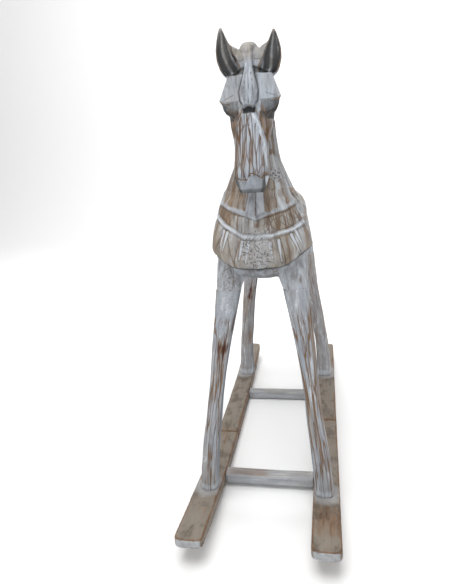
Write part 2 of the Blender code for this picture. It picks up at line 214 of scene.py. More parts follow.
def loft(bm, sections, segments=32, squareness=2.0, rings=0.004):
    # rows of (level, x, y, half width, half depth): a ring is extruded up through them
    table = np.array(sections, float)
    levels = [table[0, 0]]
    for low, high in zip(table[:-1, 0], table[1:, 0]):
        steps = max(1, round((high - low) / rings))
        levels += [low + (high - low) * (i + 1) / steps for i in range(steps)]
    angles = np.arange(segments) * 2 * math.pi / segments
    across = np.sign(np.cos(angles)) * np.abs(np.cos(angles)) ** (2 / squareness)
    deep = np.sign(np.sin(angles)) * np.abs(np.sin(angles)) ** (2 / squareness)
    ring = bmesh.ops.create_circle(bm, segments=segments, radius=1)["verts"]
    edges = [e for e in bm.edges if e.verts[0] in ring and e.verts[1] in ring]
    caps = [list(edges)]
    turns = {v: round(math.atan2(v.co.y, v.co.x) / (2 * math.pi / segments)) % segments for v in ring}
    for i, level in enumerate(levels):
        if i:
            new = bmesh.ops.extrude_edge_only(bm, edges=edges)["geom"]
            ring = [g for g in new if isinstance(g, bmesh.types.BMVert)]
            edges = [g for g in new if isinstance(g, bmesh.types.BMEdge)]
            turns = {v: turns[next(e.other_vert(v) for e in v.link_edges if e not in edges)] for v in ring}
        x, y, halfWidth, halfDepth = (np.interp(level, table[:, 0], table[:, k]) for k in range(1, 5))
        for v, turn in turns.items():
            v.co = (x + halfWidth * across[turn], y + halfDepth * deep[turn], level)
    for cap in caps + [edges]:
        bmesh.ops.contextual_create(bm, geom=cap)


def hull(bm, corners):
    verts = [bmesh.ops.create_vert(bm, co=corner)["vert"][0] for corner in corners]
    bmesh.ops.convex_hull(bm, input=verts, use_existing_faces=False)


def finish(piece, material, replaced):
    piece.data.materials.clear()
    piece.data.materials.append(material)
    piece.data.polygons.foreach_set("use_smooth", [True] * len(piece.data.polygons))
    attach(piece, "root")
    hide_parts(replaced)
    print(piece.name, len(piece.data.polygons), "faces")


# building a material's nodes, where each value is a number or another node's output

class Finish:
    def __init__(self, name):
        self.material = bpy.data.materials.new(name)
        self.material.use_nodes = True
        self.tree = self.material.node_tree
        self.shader = self.tree.nodes["Principled BSDF"]

    def add(self, kind, inputs=None, **settings):
        node = self.tree.nodes.new(kind)
        for key, value in settings.items():
            setattr(node, key, value)
        for key, value in (inputs or {}).items():
            if isinstance(value, bpy.types.NodeSocket):
                self.tree.links.new(value, node.inputs[key])
            else:
                node.inputs[key].default_value = value
        return node.outputs

    def layer(self, name):
        return self.add("ShaderNodeAttribute", attribute_name=name)["Fac"]

    def calc(self, operation, first, second, third=0.0):
        return self.add("ShaderNodeMath", {0: first, 1: second, 2: third}, operation=operation)[0]

    def plus(self, first, second):
        return self.calc("ADD", first, second)

    def times(self, first, second, plus=0.0):
        return self.calc("MULTIPLY_ADD", first, second, plus)

    def ramp(self, value, low, high, outLow=0.0, outHigh=1.0):
        inputs = {"Value": value, "From Min": low, "From Max": high, "To Min": outLow, "To Max": outHigh}
        return self.add("ShaderNodeMapRange", inputs, interpolation_type="SMOOTHSTEP")[0]

    def stretched(self, vector, scale):
        return self.add("ShaderNodeVectorMath", {0: vector, 1: scale}, operation="MULTIPLY")[0]

    def noise(self, vector, scale, detail=3.0, rough=0.55, distortion=0.0):
        inputs = {"Vector": self.stretched(vector, scale), "Scale": 1.0, "Detail": detail, "Roughness": rough}
        inputs["Distortion"] = distortion
        return self.add("ShaderNodeTexNoise", inputs)["Fac"]

    def cells(self, vector, scale, **settings):
        inputs = {"Vector": self.stretched(vector, scale), "Scale": 1.0, "Randomness": 1.0}
        return self.add("ShaderNodeTexVoronoi", inputs, **settings)

    def blend(self, factor, first, second, kind="MIX"):
        inputs = {0: factor, 6: first, 7: second}
        return self.add("ShaderNodeMix", inputs, data_type="RGBA", blend_type=kind)[2]

    def bump(self, strength, distance, height):
        inputs = {"Strength": strength, "Distance": distance, "Height": height}
        self.join(self.add("ShaderNodeBump", inputs)[0], "Normal")

    def join(self, output, socket):
        self.tree.links.new(output, self.shader.inputs[socket])


def washedWood(name, look):
    # bare wood under a thin white wash that has gone into the grain and rubbed off the edges
    m = Finish(name)
    grain = m.add("ShaderNodeAttribute", attribute_name="grain")["Vector"]
    fibre = m.noise(grain, look["fibre"], 4.0, 0.6)
    streaks = m.noise(grain, look["streaks"], 3.0, 0.55, 0.3)
    patches = m.noise(grain, look["patches"], 2.0, 0.5)
    grit = m.noise(grain, look["grit"], 2.0, 0.6)
    mottles = m.noise(grain, look["mottles"], 4.0, 0.65, 0.4)

    # thin lines left in the wash, some between cells and some like veins
    wander = m.noise(grain, look["wander"], 2.0, 0.5)
    aside = (look["wanderBy"], look["wanderBy"], 0.0)
    shift = m.add("ShaderNodeVectorMath", {0: aside, 3: wander}, operation="SCALE")[0]
    bent = m.add("ShaderNodeVectorMath", {0: grain, 1: shift}, operation="ADD")[0]
    lines = m.ramp(m.cells(bent, look["cells"], feature="DISTANCE_TO_EDGE")["Distance"], look["lineWidth"], 0.0)
    shown = m.ramp(m.plus(patches, m.layer("lines")), 0.42, 0.58)
    lines = m.times(m.times(lines, shown), look["lineStrength"])
    veins = m.calc("ABSOLUTE", m.calc("SUBTRACT", m.noise(grain, look["veins"], 1.5, 0.5, 0.25), 0.5), 0.0)
    veins = m.ramp(veins, look["veinWidth"], look["veinWidth"] * 0.3)
    veined = m.ramp(m.times(streaks, 0.6, m.layer("lines")), 0.16, 0.36)
    lines = m.calc("MAXIMUM", lines, m.times(m.times(veins, veined), look["veinStrength"]))

    # where the wash has gone
    bare = m.plus(m.layer("bare"), m.times(m.layer("edge"), look["edgeWear"]))
    bare = m.times(streaks, look["streakContrast"], bare)
    bare = m.times(patches, look["patchContrast"], bare)
    bare = m.times(fibre, look["fibreContrast"], bare)
    bare = m.ramp(bare, look["bareFrom"], look["bareTo"])

    warm = m.times(patches, 1.6, m.calc("SUBTRACT", m.layer("warm"), 0.45))
    wash = m.blend(m.ramp(warm, 0.0, 1.0), look["coolWash"], look["warmWash"])
    tone = m.add("ShaderNodeSeparateColor", {0: m.cells(bent, look["cells"])["Color"]})[0]
    wash = m.blend(m.ramp(tone, 0.0, 1.0, 0.0, look["cellTone"]), wash, look["greyWash"])
    wash = m.blend(m.ramp(m.layer("bare"), -0.35, -1.1), wash, look["freshWash"])
    wash = m.blend(m.ramp(mottles, 0.55, 0.68, 0.0, look["chalky"]), wash, look["freshWash"])
    wood = m.blend(m.ramp(fibre, 0.3, 0.7), look["woodDark"], look["woodLight"])
    colour = m.blend(m.times(bare, look["bareStrength"]), wash, wood)
    mottled = m.ramp(mottles, 0.52, 0.36, 0.0, look["mottled"])
    colour = m.blend(mottled, colour, look["mottleShade"], "MULTIPLY")
    colour = m.blend(lines, colour, look["lineColour"])
    colour = m.blend(m.ramp(fibre, 0.35, 0.62, 0.30, 0.0), colour, look["fibreShade"], "MULTIPLY")

    # speckled filler
    dotPatches = m.noise(grain, look["dotPatches"], 2.0, 0.5)
    dots = m.ramp(m.cells(grain, look["dots"])["Distance"], 0.50, 0.34)
    dots = m.times(m.times(dots, m.ramp(dotPatches, 0.40, 0.50)), m.layer("filler"))
    filled = m.times(m.layer("filler"), m.ramp(grit, 0.3, 0.7, 0.45, 0.85))
    colour = m.blend(filled, colour, look["fillerColour"])
    colour = m.blend(m.times(dots, look["dotted"]), colour, look["dotColour"])

    # stain soaked in along the grain, and painted shade, a flat dark grey, in hollows, creases, undersides and
    # on sides turned from the light
    dark = m.times(streaks, 3.4, m.times(m.layer("dark"), 1.0, -1.85))
    dark = m.times(fibre, 0.8, m.calc("SUBTRACT", dark, 0.4))
    dark = m.times(m.ramp(dark, 0.40, 0.95), m.ramp(m.layer("dark"), 0.05, 0.35))
    colour = m.blend(dark, colour, look["stain"])
    # painted shade, read from the layer of painted shade
    shaded = m.times(fibre, 0.5, m.calc("SUBTRACT", m.layer("hollow"), 0.15))
    m.join(m.blend(m.ramp(shaded, 0.1, 1.0), colour, look["soot"]), "Base Color")

    m.join(m.times(grit, 0.14, m.times(bare, -look["bareGloss"], look["roughness"])), "Roughness")
    m.shader.inputs["Specular IOR Level"].default_value = look["specular"]
    height = m.times(fibre, 0.5)
    for mark, depth in ((lines, -0.8), (bare, -0.35), (dots, -1.2), (grit, 0.25)):
        height = m.times(mark, depth, height)
    m.bump(0.85, look["relief"], height)
    return m.material


washLook = {
    "fibre": (420, 420, 16), "streaks": (95, 95, 6.5), "patches": (26, 26, 8), "grit": (620, 620, 620),
    "wander": (36, 36, 16), "wanderBy": 0.009, "cells": (115, 115, 20),
    "veins": (135, 135, 11), "veinWidth": 0.044, "veinStrength": 1.0,
    "lineWidth": 0.085, "lineStrength": 0.7, "edgeWear": 0.5,
    "streakContrast": 1.7, "patchContrast": 0.7, "fibreContrast": 0.6,
    "bareFrom": 1.58, "bareTo": 2.05, "bareStrength": 0.88, "cellTone": 0.5,
    "coolWash": (0.41, 0.45, 0.505, 1), "warmWash": (0.37, 0.345, 0.31, 1), "greyWash": (0.26, 0.28, 0.315, 1),
    "freshWash": (0.58, 0.62, 0.67, 1), "mottles": (90, 90, 26), "mottleShade": (0.50, 0.47, 0.45, 1),
    "mottled": 0.65, "chalky": 0.5, "dotted": 0.85,
    "woodLight": (0.27, 0.185, 0.125, 1), "woodDark": (0.145, 0.085, 0.048, 1),
    "lineColour": (0.125, 0.072, 0.038, 1), "fibreShade": (0.50, 0.47, 0.45, 1),
    "dots": (330, 330, 330), "dotPatches": (150, 150, 150), "dotColour": (0.060, 0.050, 0.045, 1),
    "fillerColour": (0.44, 0.45, 0.47, 1), "stain": (0.075, 0.022, 0.011, 1), "soot": (0.050, 0.050, 0.051, 1),
    "roughness": 0.66, "bareGloss": 0.10, "specular": 0.35, "relief": 0.0015,
}
chestLook = dict(
    washLook, cells=(88, 88, 66), patches=(30, 30, 12), bareStrength=0.8, veins=(110, 110, 9), veinStrength=0.7,
    coolWash=(0.43, 0.46, 0.505, 1), warmWash=(0.35, 0.31, 0.26, 1), greyWash=(0.32, 0.325, 0.33, 1),
    chalky=0.75,
    woodLight=(0.27, 0.185, 0.12, 1), woodDark=(0.15, 0.09, 0.05, 1),
)
legLook = dict(
    washLook, cells=(115, 115, 9), lineStrength=0.25, mottled=0.35, chalky=0.9, dotted=0.3, veins=(165, 165, 9),
    veinWidth=0.046, streaks=(120, 120, 5), lineColour=(0.19, 0.115, 0.065, 1),
    woodLight=(0.31, 0.205, 0.13, 1), woodDark=(0.17, 0.10, 0.055, 1),
)
hindLegLook = dict(
    legLook, coolWash=(0.38, 0.38, 0.40, 1), warmWash=(0.345, 0.315, 0.29, 1), lineStrength=0.15,
    bareStrength=0.7,
    veinStrength=0.4,
)
barLook = dict(
    washLook, lineStrength=0.25, veinStrength=0.2, mottled=0.25, chalky=0.5, dotted=0.1,
    coolWash=(0.46, 0.48, 0.51, 1), warmWash=(0.40, 0.375, 0.34, 1), streaks=(110, 110, 9), bareStrength=0.6,
    lineColour=(0.38, 0.27, 0.18, 1),
)
runnerLook = dict(
    washLook, fibre=(380, 380, 14), streaks=(120, 120, 10), patches=(24, 24, 9), wander=(40, 40, 12),
    cells=(55, 55, 5), lineStrength=0.18, lineWidth=0.05, edgeWear=1.1, veinStrength=0.2,
    coolWash=(0.225, 0.195, 0.16, 1), warmWash=(0.205, 0.160, 0.118, 1), greyWash=(0.185, 0.16, 0.135, 1),
    mottles=(38, 38, 22), chalky=0.0, mottled=0.85, dotted=0.12,
    woodLight=(0.22, 0.125, 0.065, 1), woodDark=(0.12, 0.055, 0.023, 1), lineColour=(0.17, 0.10, 0.055, 1),
    fibreShade=(0.72, 0.68, 0.64, 1), stain=(0.05, 0.03, 0.02, 1), fillerColour=(0.40, 0.41, 0.42, 1),
    bareStrength=0.85, roughness=0.60, cellTone=0.3, relief=0.0008,
)
materials = {
    "head": washedWood("washedHead", washLook),
    "chest": washedWood("washedChest", chestLook),
    "leg": washedWood("washedLeg", legLook),
    "hindLeg": washedWood("washedHindLeg", hindLegLook),
    "bar": washedWood("washedBar", barLook),
    "runner": washedWood("greyBrownRunner", runnerLook),
}
print("wood finishes made")


headLook = {
    "voxel": 0.00115,
    "skull": (  # above the chin, x, behind the muzzle, half width, half depth
        (-0.002, 0, 0.0176, 0.0185, 0.0145), (0.010, 0, 0.0200, 0.0235, 0.0198),
        (0.022, 0, 0.0232, 0.0274, 0.0232),
        (0.034, 0, 0.0262, 0.0278, 0.0240), (0.050, 0, 0.0325, 0.0264, 0.0240),
        (0.070, 0, 0.0415, 0.0268, 0.0237),
        (0.080, 0, 0.0459, 0.0283, 0.0235), (0.090, 0, 0.0524, 0.0310, 0.0272),
        (0.100, 0, 0.0589, 0.0338, 0.0310),
        (0.122, 0, 0.0679, 0.0362, 0.0320), (0.140, 0, 0.0719, 0.0372, 0.0320),
        (0.160, 0, 0.0759, 0.0365, 0.0310), (0.185, 0, 0.0799, 0.0335, 0.0280),
        (0.205, 0, 0.0819, 0.0270, 0.0240),
        (0.216, 0, 0.0809, 0.0170, 0.0160), (0.2220, 0, 0.0799, 0.0080, 0.0080),
    ),
    "crest": (
        (0.080, 0, 0.1119, 0.029, 0.046), (0.120, 0, 0.1139, 0.030, 0.050), (0.150, 0, 0.1139, 0.030, 0.050),
        (0.180, 0, 0.1109, 0.027, 0.045), (0.205, 0, 0.1039, 0.021, 0.034), (0.218, 0, 0.0959, 0.012, 0.020),
    ),
    "poll": (
        (0.200, -0.002, 0.079, 0.0155, 0.021), (0.214, -0.002, 0.078, 0.0150, 0.020),
        (0.2205, -0.002, 0.078, 0.0138, 0.017), (0.2245, -0.002, 0.078, 0.0110, 0.013),
        (0.2265, -0.002, 0.078, 0.0075, 0.008),
    ),
    "ear": (
        (0.174, 0.0262, 0.0720, 0.0105, 0.0100), (0.179, 0.0280, 0.0695, 0.0150, 0.0115),
        (0.186, 0.0302, 0.0660, 0.0170, 0.0120), (0.198, 0.0345, 0.0610, 0.0163, 0.0115),
        (0.211, 0.0378, 0.0570, 0.0130, 0.0100), (0.223, 0.0395, 0.0540, 0.0084, 0.0078),
        (0.233, 0.0402, 0.0520, 0.0046, 0.0050), (0.240, 0.0405, 0.0512, 0.0016, 0.0020),
    ),
    "earFoot": 0.166, "earHollow": 0.0085, "earFlute": 0.0026, "earStretch": 0.07,
    "facets": (  # corners out to the side, behind the muzzle, above the chin
        (  # the brow, a low pyramid with its point at the side
            (0.0490, 0.0462, 0.1400), (0.0350, 0.052, 0.166), (0.0325, 0.054, 0.182), (0.012, 0.0405, 0.140),
            (0.020, 0.0345, 0.118), (0.030, 0.0410, 0.114), (0.040, 0.085, 0.145), (0.030, 0.085, 0.182),
            (0.030, 0.085, 0.115), (0.014, 0.0490, 0.180),
        ), (  # the eye under it
            (0.0458, 0.0520, 0.134), (0.0438, 0.0500, 0.127), (0.0388, 0.0480, 0.1195), (0.0320, 0.0450, 0.116),
            (0.0300, 0.0405, 0.128), (0.0400, 0.080, 0.134), (0.0320, 0.080, 0.117), (0.0385, 0.060, 0.119),
        ), (  # the web from the ear's back to the poll, in two parts
            (0.0385, 0.057, 0.2365), (0.0380, 0.061, 0.2340), (0.0300, 0.070, 0.2245), (0.0300, 0.082, 0.2210),
            (0.0350, 0.076, 0.180), (0.0350, 0.068, 0.176), (0.0360, 0.060, 0.205), (0.0280, 0.064, 0.205),
        ), (
            (0.0312, 0.068, 0.2250), (0.0312, 0.084, 0.2210), (0.0180, 0.070, 0.2180), (0.0180, 0.086, 0.2150),
            (0.0160, 0.068, 0.180), (0.0330, 0.064, 0.180), (0.0160, 0.095, 0.190), (0.0300, 0.090, 0.185),
        ),
    ),
    "seatTilt": math.radians(30), "seatHeight": 0.083, "seatBack": 0.0729,
    "forelockEdges": (  # above the chin, left edge, right edge
        (0.124, -0.0030, 0.0030), (0.1275, -0.0075, 0.0080), (0.131, -0.0105, 0.0100), (0.136, -0.0140, 0.0125),
        (0.149, -0.0158, 0.0138), (0.161, -0.0130, 0.0122), (0.172, -0.0098, 0.0092), (0.184, -0.0068, 0.0065),
        (0.200, -0.0063, 0.0060), (0.216, -0.0060, 0.0055),
    ),
    "forelockDepth": 0.0048, "fluteDepth": 0.0032, "ledgeDepth": 0.0035,
    "noseEdges": (
        (0.020, -0.0262, 0.0268), (0.036, -0.0245, 0.0290), (0.062, -0.0236, 0.0258), (0.080, -0.0230, 0.0224),
        (0.096, -0.0205, 0.0170), (0.108, -0.0165, 0.0120), (0.118, -0.0105, 0.0072),
    ),
    "mouth": (  # x, above the chin
        (-0.0270, 0.0250), (-0.0164, 0.0190), (-0.0044, 0.0180), (0.0006, 0.0270), (0.0047, 0.0275),
        (0.0116, 0.0240),
        (0.0175, 0.0200), (0.0270, 0.0265),
    ),
    "gouges": (  # width, then the points of the cut
        (0.0016, ((-0.0010, 0.1125), (-0.0008, 0.0985))), (0.0016, ((0.0096, 0.1070), (0.0120, 0.0995))),
        (0.0016, ((0.0132, 0.0968), (0.0148, 0.0915))),
    ),
    "creases": (  # on both sides alike
        (0.0014, ((0.0250, 0.2060), (0.0185, 0.1980), (0.0120, 0.1965), (0.0080, 0.1985))),
        (0.0014, ((0.0170, 0.1365), (0.0300, 0.1360), (0.0430, 0.1375))),
        (0.0011, ((0.0260, 0.1460), (0.0430, 0.1395))),
        (0.0013, ((0.0475, 0.1350), (0.0400, 0.1240), (0.0300, 0.1180), (0.0240, 0.1120))),
    ),
    "scratches": (
        (0.0016, ((0.0185, 0.1320), (0.0258, 0.1150))), (0.0016, ((0.0380, 0.1226), (0.0452, 0.1315))),
        (0.0016, ((0.0195, 0.1290), (0.0190, 0.1180))),
    ),
    "browEdge": ((0.0490, 0.1400), (0.0440, 0.1360), (0.0330, 0.1330)),
}


def headBlock(look):
    bm = bmesh.new()
    loft(bm, look["skull"], 40, 2.7)
    seat = bmesh.new()
    loft(seat, look["crest"], 36)
    up = Matrix.Rotation(look["seatTilt"], 3, "X") @ Vector((0, 0, 1))
    cut = bmesh.ops.bisect_plane(
        seat, geom=seat.verts[:] + seat.edges[:] + seat.faces[:], dist=1e-6,
        plane_co=(0, look["seatBack"], look["seatHeight"]), plane_no=up, clear_inner=True,
    )["geom_cut"]
    bmesh.ops.contextual_create(seat, geom=[g for g in cut if isinstance(g, bmesh.types.BMEdge)])
    crest = bpy.data.meshes.new("crest")
    seat.to_mesh(crest)
    seat.free()
    bm.from_mesh(crest)
    bpy.data.meshes.remove(crest)
    loft(bm, look["poll"], 24)
    foot = look["earFoot"]
    for side in (-1, 1):
        stretch = 1 - look["earStretch"] * side
        ear = [((row[0] - foot) * stretch + foot, side * row[1]) + row[2:] for row in look["ear"]]
        loft(bm, ear, 28, 2.8, 0.0015)
        for corners in look["facets"]:
            hull(bm, [(side * across, back, above) for across, back, above in corners])
    return bm


def maneRibs(x, back, above):
    # ribs that slope down and out along the back of the neck
    return np.abs(np.sin((above * 0.8 - back * 0.6 - np.abs(x) * 0.7) * math.pi / 0.0085))


def buildHead(look):
    low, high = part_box("head_block")
    origin = np.array([0, low.y, low.z])
    bm = headBlock(look)
    bmesh.ops.translate(bm, verts=bm.verts, vec=Vector(origin))
    piece = fused(bm, "carvedHead", look["voxel"], 3)
    mesh = piece.data

    # the ears' hollows, fluted lengthwise, and the groove where they meet the brow
    local, normals = measured(mesh, origin)
    hollow, hollowRim = np.zeros(len(local)), np.zeros(len(local))
    foot = look["earFoot"]
    for side in (-1, 1):
        above = (local[:, 2] - foot) / (1 - look["earStretch"] * side) + foot
        centre = side * alongRows(above, look["ear"], 1)
        half = np.maximum(alongRows(above, look["ear"], 3), 0.001)
        across = side * (local[:, 0] - centre) / half
        inside = ramp(0.93 - np.abs(across), 0.0, 0.16) * ramp(-normals[:, 1], 0.05, 0.35)
        inside *= ramp(above, 0.1745, 0.1790) * ramp(above, 0.2395, 0.232)
        inside *= (local[:, 1] < alongRows(above, look["ear"], 2) + 0.002) * (np.abs(local[:, 0]) > 0.012)
        deep = look["earHollow"] * inside * np.minimum(1, half / 0.011) * (1 - 0.5 * across ** 2)
        sway = 0.16 * np.sin(above * 90 + side) + 0.05 * roughness(local, (300, 300, 60), 31)
        flutes = np.maximum(0, np.cos((across + sway - 0.02) * 7.8)) ** 0.8 * ramp(0.85 - across, 0, 0.25)
        deep -= look["earFlute"] * inside * flutes * ramp(half, 0.002, 0.009)
        local[:, 1] += deep
        # painted shade deep in the ears' hollows, together with their own dark stain, lighter over the flutes'
        # crests
        shaded = (1.10 - 0.62 * flutes) * (0.62 + 0.38 * np.abs(across))
        hollow += inside * shaded * (1 - 0.25 * ramp(above, 0.19, 0.23))
        hollowRim += rounded(np.abs(across) - 0.95, 0.14) * ramp(above, 0.176, 0.182) * (local[:, 1] < 0.075)
    movePlaces(mesh, local + origin)

    # the forelock, a raised tongue with its point over an undercut
    local, normals = measured(mesh, origin)
    x, back, above = local.T.copy()
    left, right = (alongRows(above, look["forelockEdges"], column) for column in (1, 2))
    front = ramp(-normals[:, 1], 0.1, 0.4) * (back < 0.08)
    edge = np.minimum(x - left, right - x)
    bottom = 0.1255 + 0.0035 * np.abs(np.cos(x / 0.0072 * math.pi / 2 + 0.4))
    tongue = ramp(edge, -0.0005, 0.0011) * front
    tongue *= ramp(above, bottom - 0.0008, bottom + 0.0010) * ramp(above, 0.226, 0.212)
    part = np.clip((x - left) / np.maximum(right - left, 0.001), 0, 1)
    flute = np.abs(np.sin(part * math.pi * np.where(above > 0.178, 2, 4))) ** 0.6
    lift = tongue * (look["forelockDepth"] * ramp(above, 0.226, 0.18) + look["fluteDepth"] * (flute - 0.5))
    ledgeTop = 0.1775 + 0.010 * ramp(np.abs(x), 0.034, 0.008)
    ledge = ramp(above, 0.1755, 0.1775) * ramp(ledgeTop - above, -0.0005, 0.002)
    ledge *= front * (edge < -0.001) * (np.abs(x) < 0.036)
    channel = rounded(edge + 0.0006, 0.0018) * front * ramp(above, 0.126, 0.135) * ramp(above, 0.205, 0.18)
    undercut = ramp(0.0100 - np.abs(x + 0.001), -0.0008, 0.0012) * front
    undercut *= ramp(above, 0.1165, 0.1195) * ramp(above, bottom + 0.0004, bottom - 0.0012)
    local[:, 1] += look["ledgeDepth"] * ledge - lift + 0.0012 * channel
    local[:, 1] += undercut * (0.0030 + 0.35 * np.maximum(0, above - 0.117))
    movePlaces(mesh, local + origin)

    # the long nose, its raised edges and its blunt end
    local, normals = measured(mesh, origin)
    x, back, above = local.T.copy()
    front = ramp(-normals[:, 1], 0.05, 0.4) * (back < 0.07) * ramp(above, 0.119, 0.116)
    left, right = (alongRows(above, look["noseEdges"], column) for column in (1, 2))
    edge = np.minimum(x - left, right - x)
    nose = ramp(edge, -0.0008, 0.0012) * front * ramp(above, 0.020, 0.026)
    strip = rounded(x - right + 0.0026, 0.0042) * front * ramp(above, 0.030, 0.040)
    local[:, 1] -= 0.0014 * nose + 0.0010 * strip
    local[:, 1] += 0.0012 * rounded(edge + 0.0014, 0.0022) * front * ramp(above, 0.024, 0.034)
    gouges = nearPaths(x, above, look["gouges"], front)
    mouthLine = alongRows(x, look["mouth"], 1)
    mouth = rounded(above - mouthLine, 0.0015) * ramp(-normals[:, 1], 0.1, 0.4) * (local[:, 1] < 0.03)
    local[:, 1] += 0.0014 * gouges + 0.0006 * mouth
    blunt = ramp(mouthLine - above, 0.0, 0.004) * (local[:, 1] < 0.02)
    local[:, 1] += blunt * np.maximum(0, (mouthLine - above)) * 0.16
    movePlaces(mesh, local + origin)

    # crescent cuts beside the poll, creases of the brows, and the mane's ribs behind
    local, normals = measured(mesh, origin)
    x, back, above = local.T
    front = ramp(-normals[:, 1], 0.0, 0.4) * (back < 0.09)
    creases = nearPaths(np.abs(x), above, look["creases"], front)
    scratches = nearPaths(x, above, look["scratches"], front)
    mane = ramp(0.014 - np.abs(x), -0.001, 0.0015) * ramp(normals[:, 1] + normals[:, 2] * 0.5, 0.1, 0.5)
    mane *= ramp(back, 0.092, 0.100) * (0.0016 + 0.0012 * (maneRibs(x, back, above) - 0.5))
    raiseBy(mesh, mane - 0.0009 * creases - 0.0006 * scratches + roughness(local, (60, 60, 18), 3) * 0.0006)

    # where the wash is worn or stained, and painted shade in recesses, under the brows, on the muzzle's sides
    # and under the chin
    local, normals = measured(mesh, origin)
    x, back, above = local.T
    side = np.abs(x)
    face = (back < 0.07) * ramp(-normals[:, 1], -0.3, 0.1)
    browEdge, _ = distanceToPath(np.stack([side, above], axis=1), look["browEdge"])
    grooves = tongue * ramp(0.45 - flute, 0.0, 0.35)
    cheeks = ramp(-edge, 0.0002, 0.004) * ramp(above, 0.126, 0.112) * ramp(above, 0.03, 0.05)
    underBrow = ramp(0.1365 - above, 0.0, 0.002) * ramp(above, 0.104, 0.112) * (side > 0.017) * face
    rim = ramp((above - 0.106) * 0.64 - (side - 0.0206) * 0.76, -0.0014, -0.0034)
    rim *= ramp(above, 0.106, 0.110) * ramp(0.139 - above, 0, 0.002) * face
    eyes = ramp(side, 0.034, 0.040) * ramp(above, 0.136, 0.131) * ramp(above, 0.105, 0.110) * (back < 0.07)
    nostril = rounded(np.hypot(side - 0.0235, above - 0.0245), 0.008) * face
    # painted highlight: a pale strip on the muzzle's right side facet, where it catches the light
    paintedHighlight = (x > 0.0225) * ramp(above, 0.004, 0.007) * ramp(0.0235 - above, 0, 0.002) * (back < 0.035)
    paintedHighlight = paintedHighlight * ramp(normals[:, 0], 0.25, 0.5)
    muzzleSide = ramp(np.abs(normals[:, 0]), 0.35, 0.8) * ramp(0.026 - above, 0, 0.004) * (back < 0.04)
    below = 0.118 - above
    sideStreak = rounded(back - 0.044 - 0.30 * below, 0.0032) + rounded(back - 0.056 - 0.22 * below, 0.0022)
    sideStreak *= (x > 0.02) * ramp(above, 0.066, 0.074) * ramp(0.116 - above, 0, 0.006)
    lowNose = nose * ramp(above, 0.098, 0.07) * ramp(x, 0.03, -0.02) * ramp(above, 0.015, 0.045)

    bare = 0.50 * cheeks * (back < 0.07) + 0.10 * grooves - 0.05 * tongue * (flute > 0.6) + 0.10 * underBrow
    bare += 0.8 * rounded(browEdge, 0.0030) * face + 0.8 * gouges + 0.9 * hollowRim + 0.1 * hollow
    bare += 0.02 * nose + 0.36 * lowNose - 1.5 * sideStreak - 1.1 * strip - 1.2 * paintedHighlight
    bare -= 0.35 * ramp(above, 0.124, 0.132) * (back < 0.075) + 0.4 * ramp(above, 0.098, 0.112) * nose
    bare += 0.45 * nostril + 0.4 * creases * (above > 0.12) * (above < 0.15) + 1.0 * mouth + 1.1 * scratches
    # painted shade: in the ears' hollows, the forelock's grooves, channel and undercut, under the brows and
    # eyes, on the muzzle's sides, under the chin and the mouth, in the creases and on the ledge under the ears
    shade = hollow + 0.70 * grooves + 0.62 * rim + 0.55 * underBrow + 0.15 * eyes + 0.5 * muzzleSide
    shade += (
        0.75 * undercut + 0.75 * channel + 0.45 * creases
        + 0.35 * ramp(0.006 - above, 0, 0.004) * (back < 0.03)
    )
    shade += 0.55 * ledge + 0.1925 * ramp(mouthLine - above, 0.000, 0.004) * face * (back < 0.02)
    # no painted shade on the painted highlight
    shade *= (1 - 0.7 * scratches) * (1 - 0.9 * paintedHighlight)
    ears = ramp(above, 0.182, 0.190) * ramp(side, 0.026, 0.032)
    skullFront = [(row[0], row[2] - row[4]) for row in look["skull"]]
    paint(
        mesh, np.stack([x + 0.3, back - alongRows(above, skullFront, 1) + 0.1, above], axis=1), bare=bare,
        edge=ramp(sharpness(mesh, 3), 0.00005, 0.00035) * (1 - np.clip(2 * hollow, 0, 1)),
        dark=0.30 * rounded(browEdge, 0.0020) * face + 0.8 * gouges + 0.25 * hollowRim + 0.3 * mouth,
        hollow=shade,
        lines=0.30 * nose - 0.9 * strip - 0.6 * ramp(above, 0.118, 0.126) - 0.25 * blunt,
        warm=0.55 * ramp(above, 0.19, 0.205) * (side < 0.034) + 0.35 * ears - 0.25 * nose,
    )
    finish(piece, materials["head"], "head_block")


buildHead(headLook)


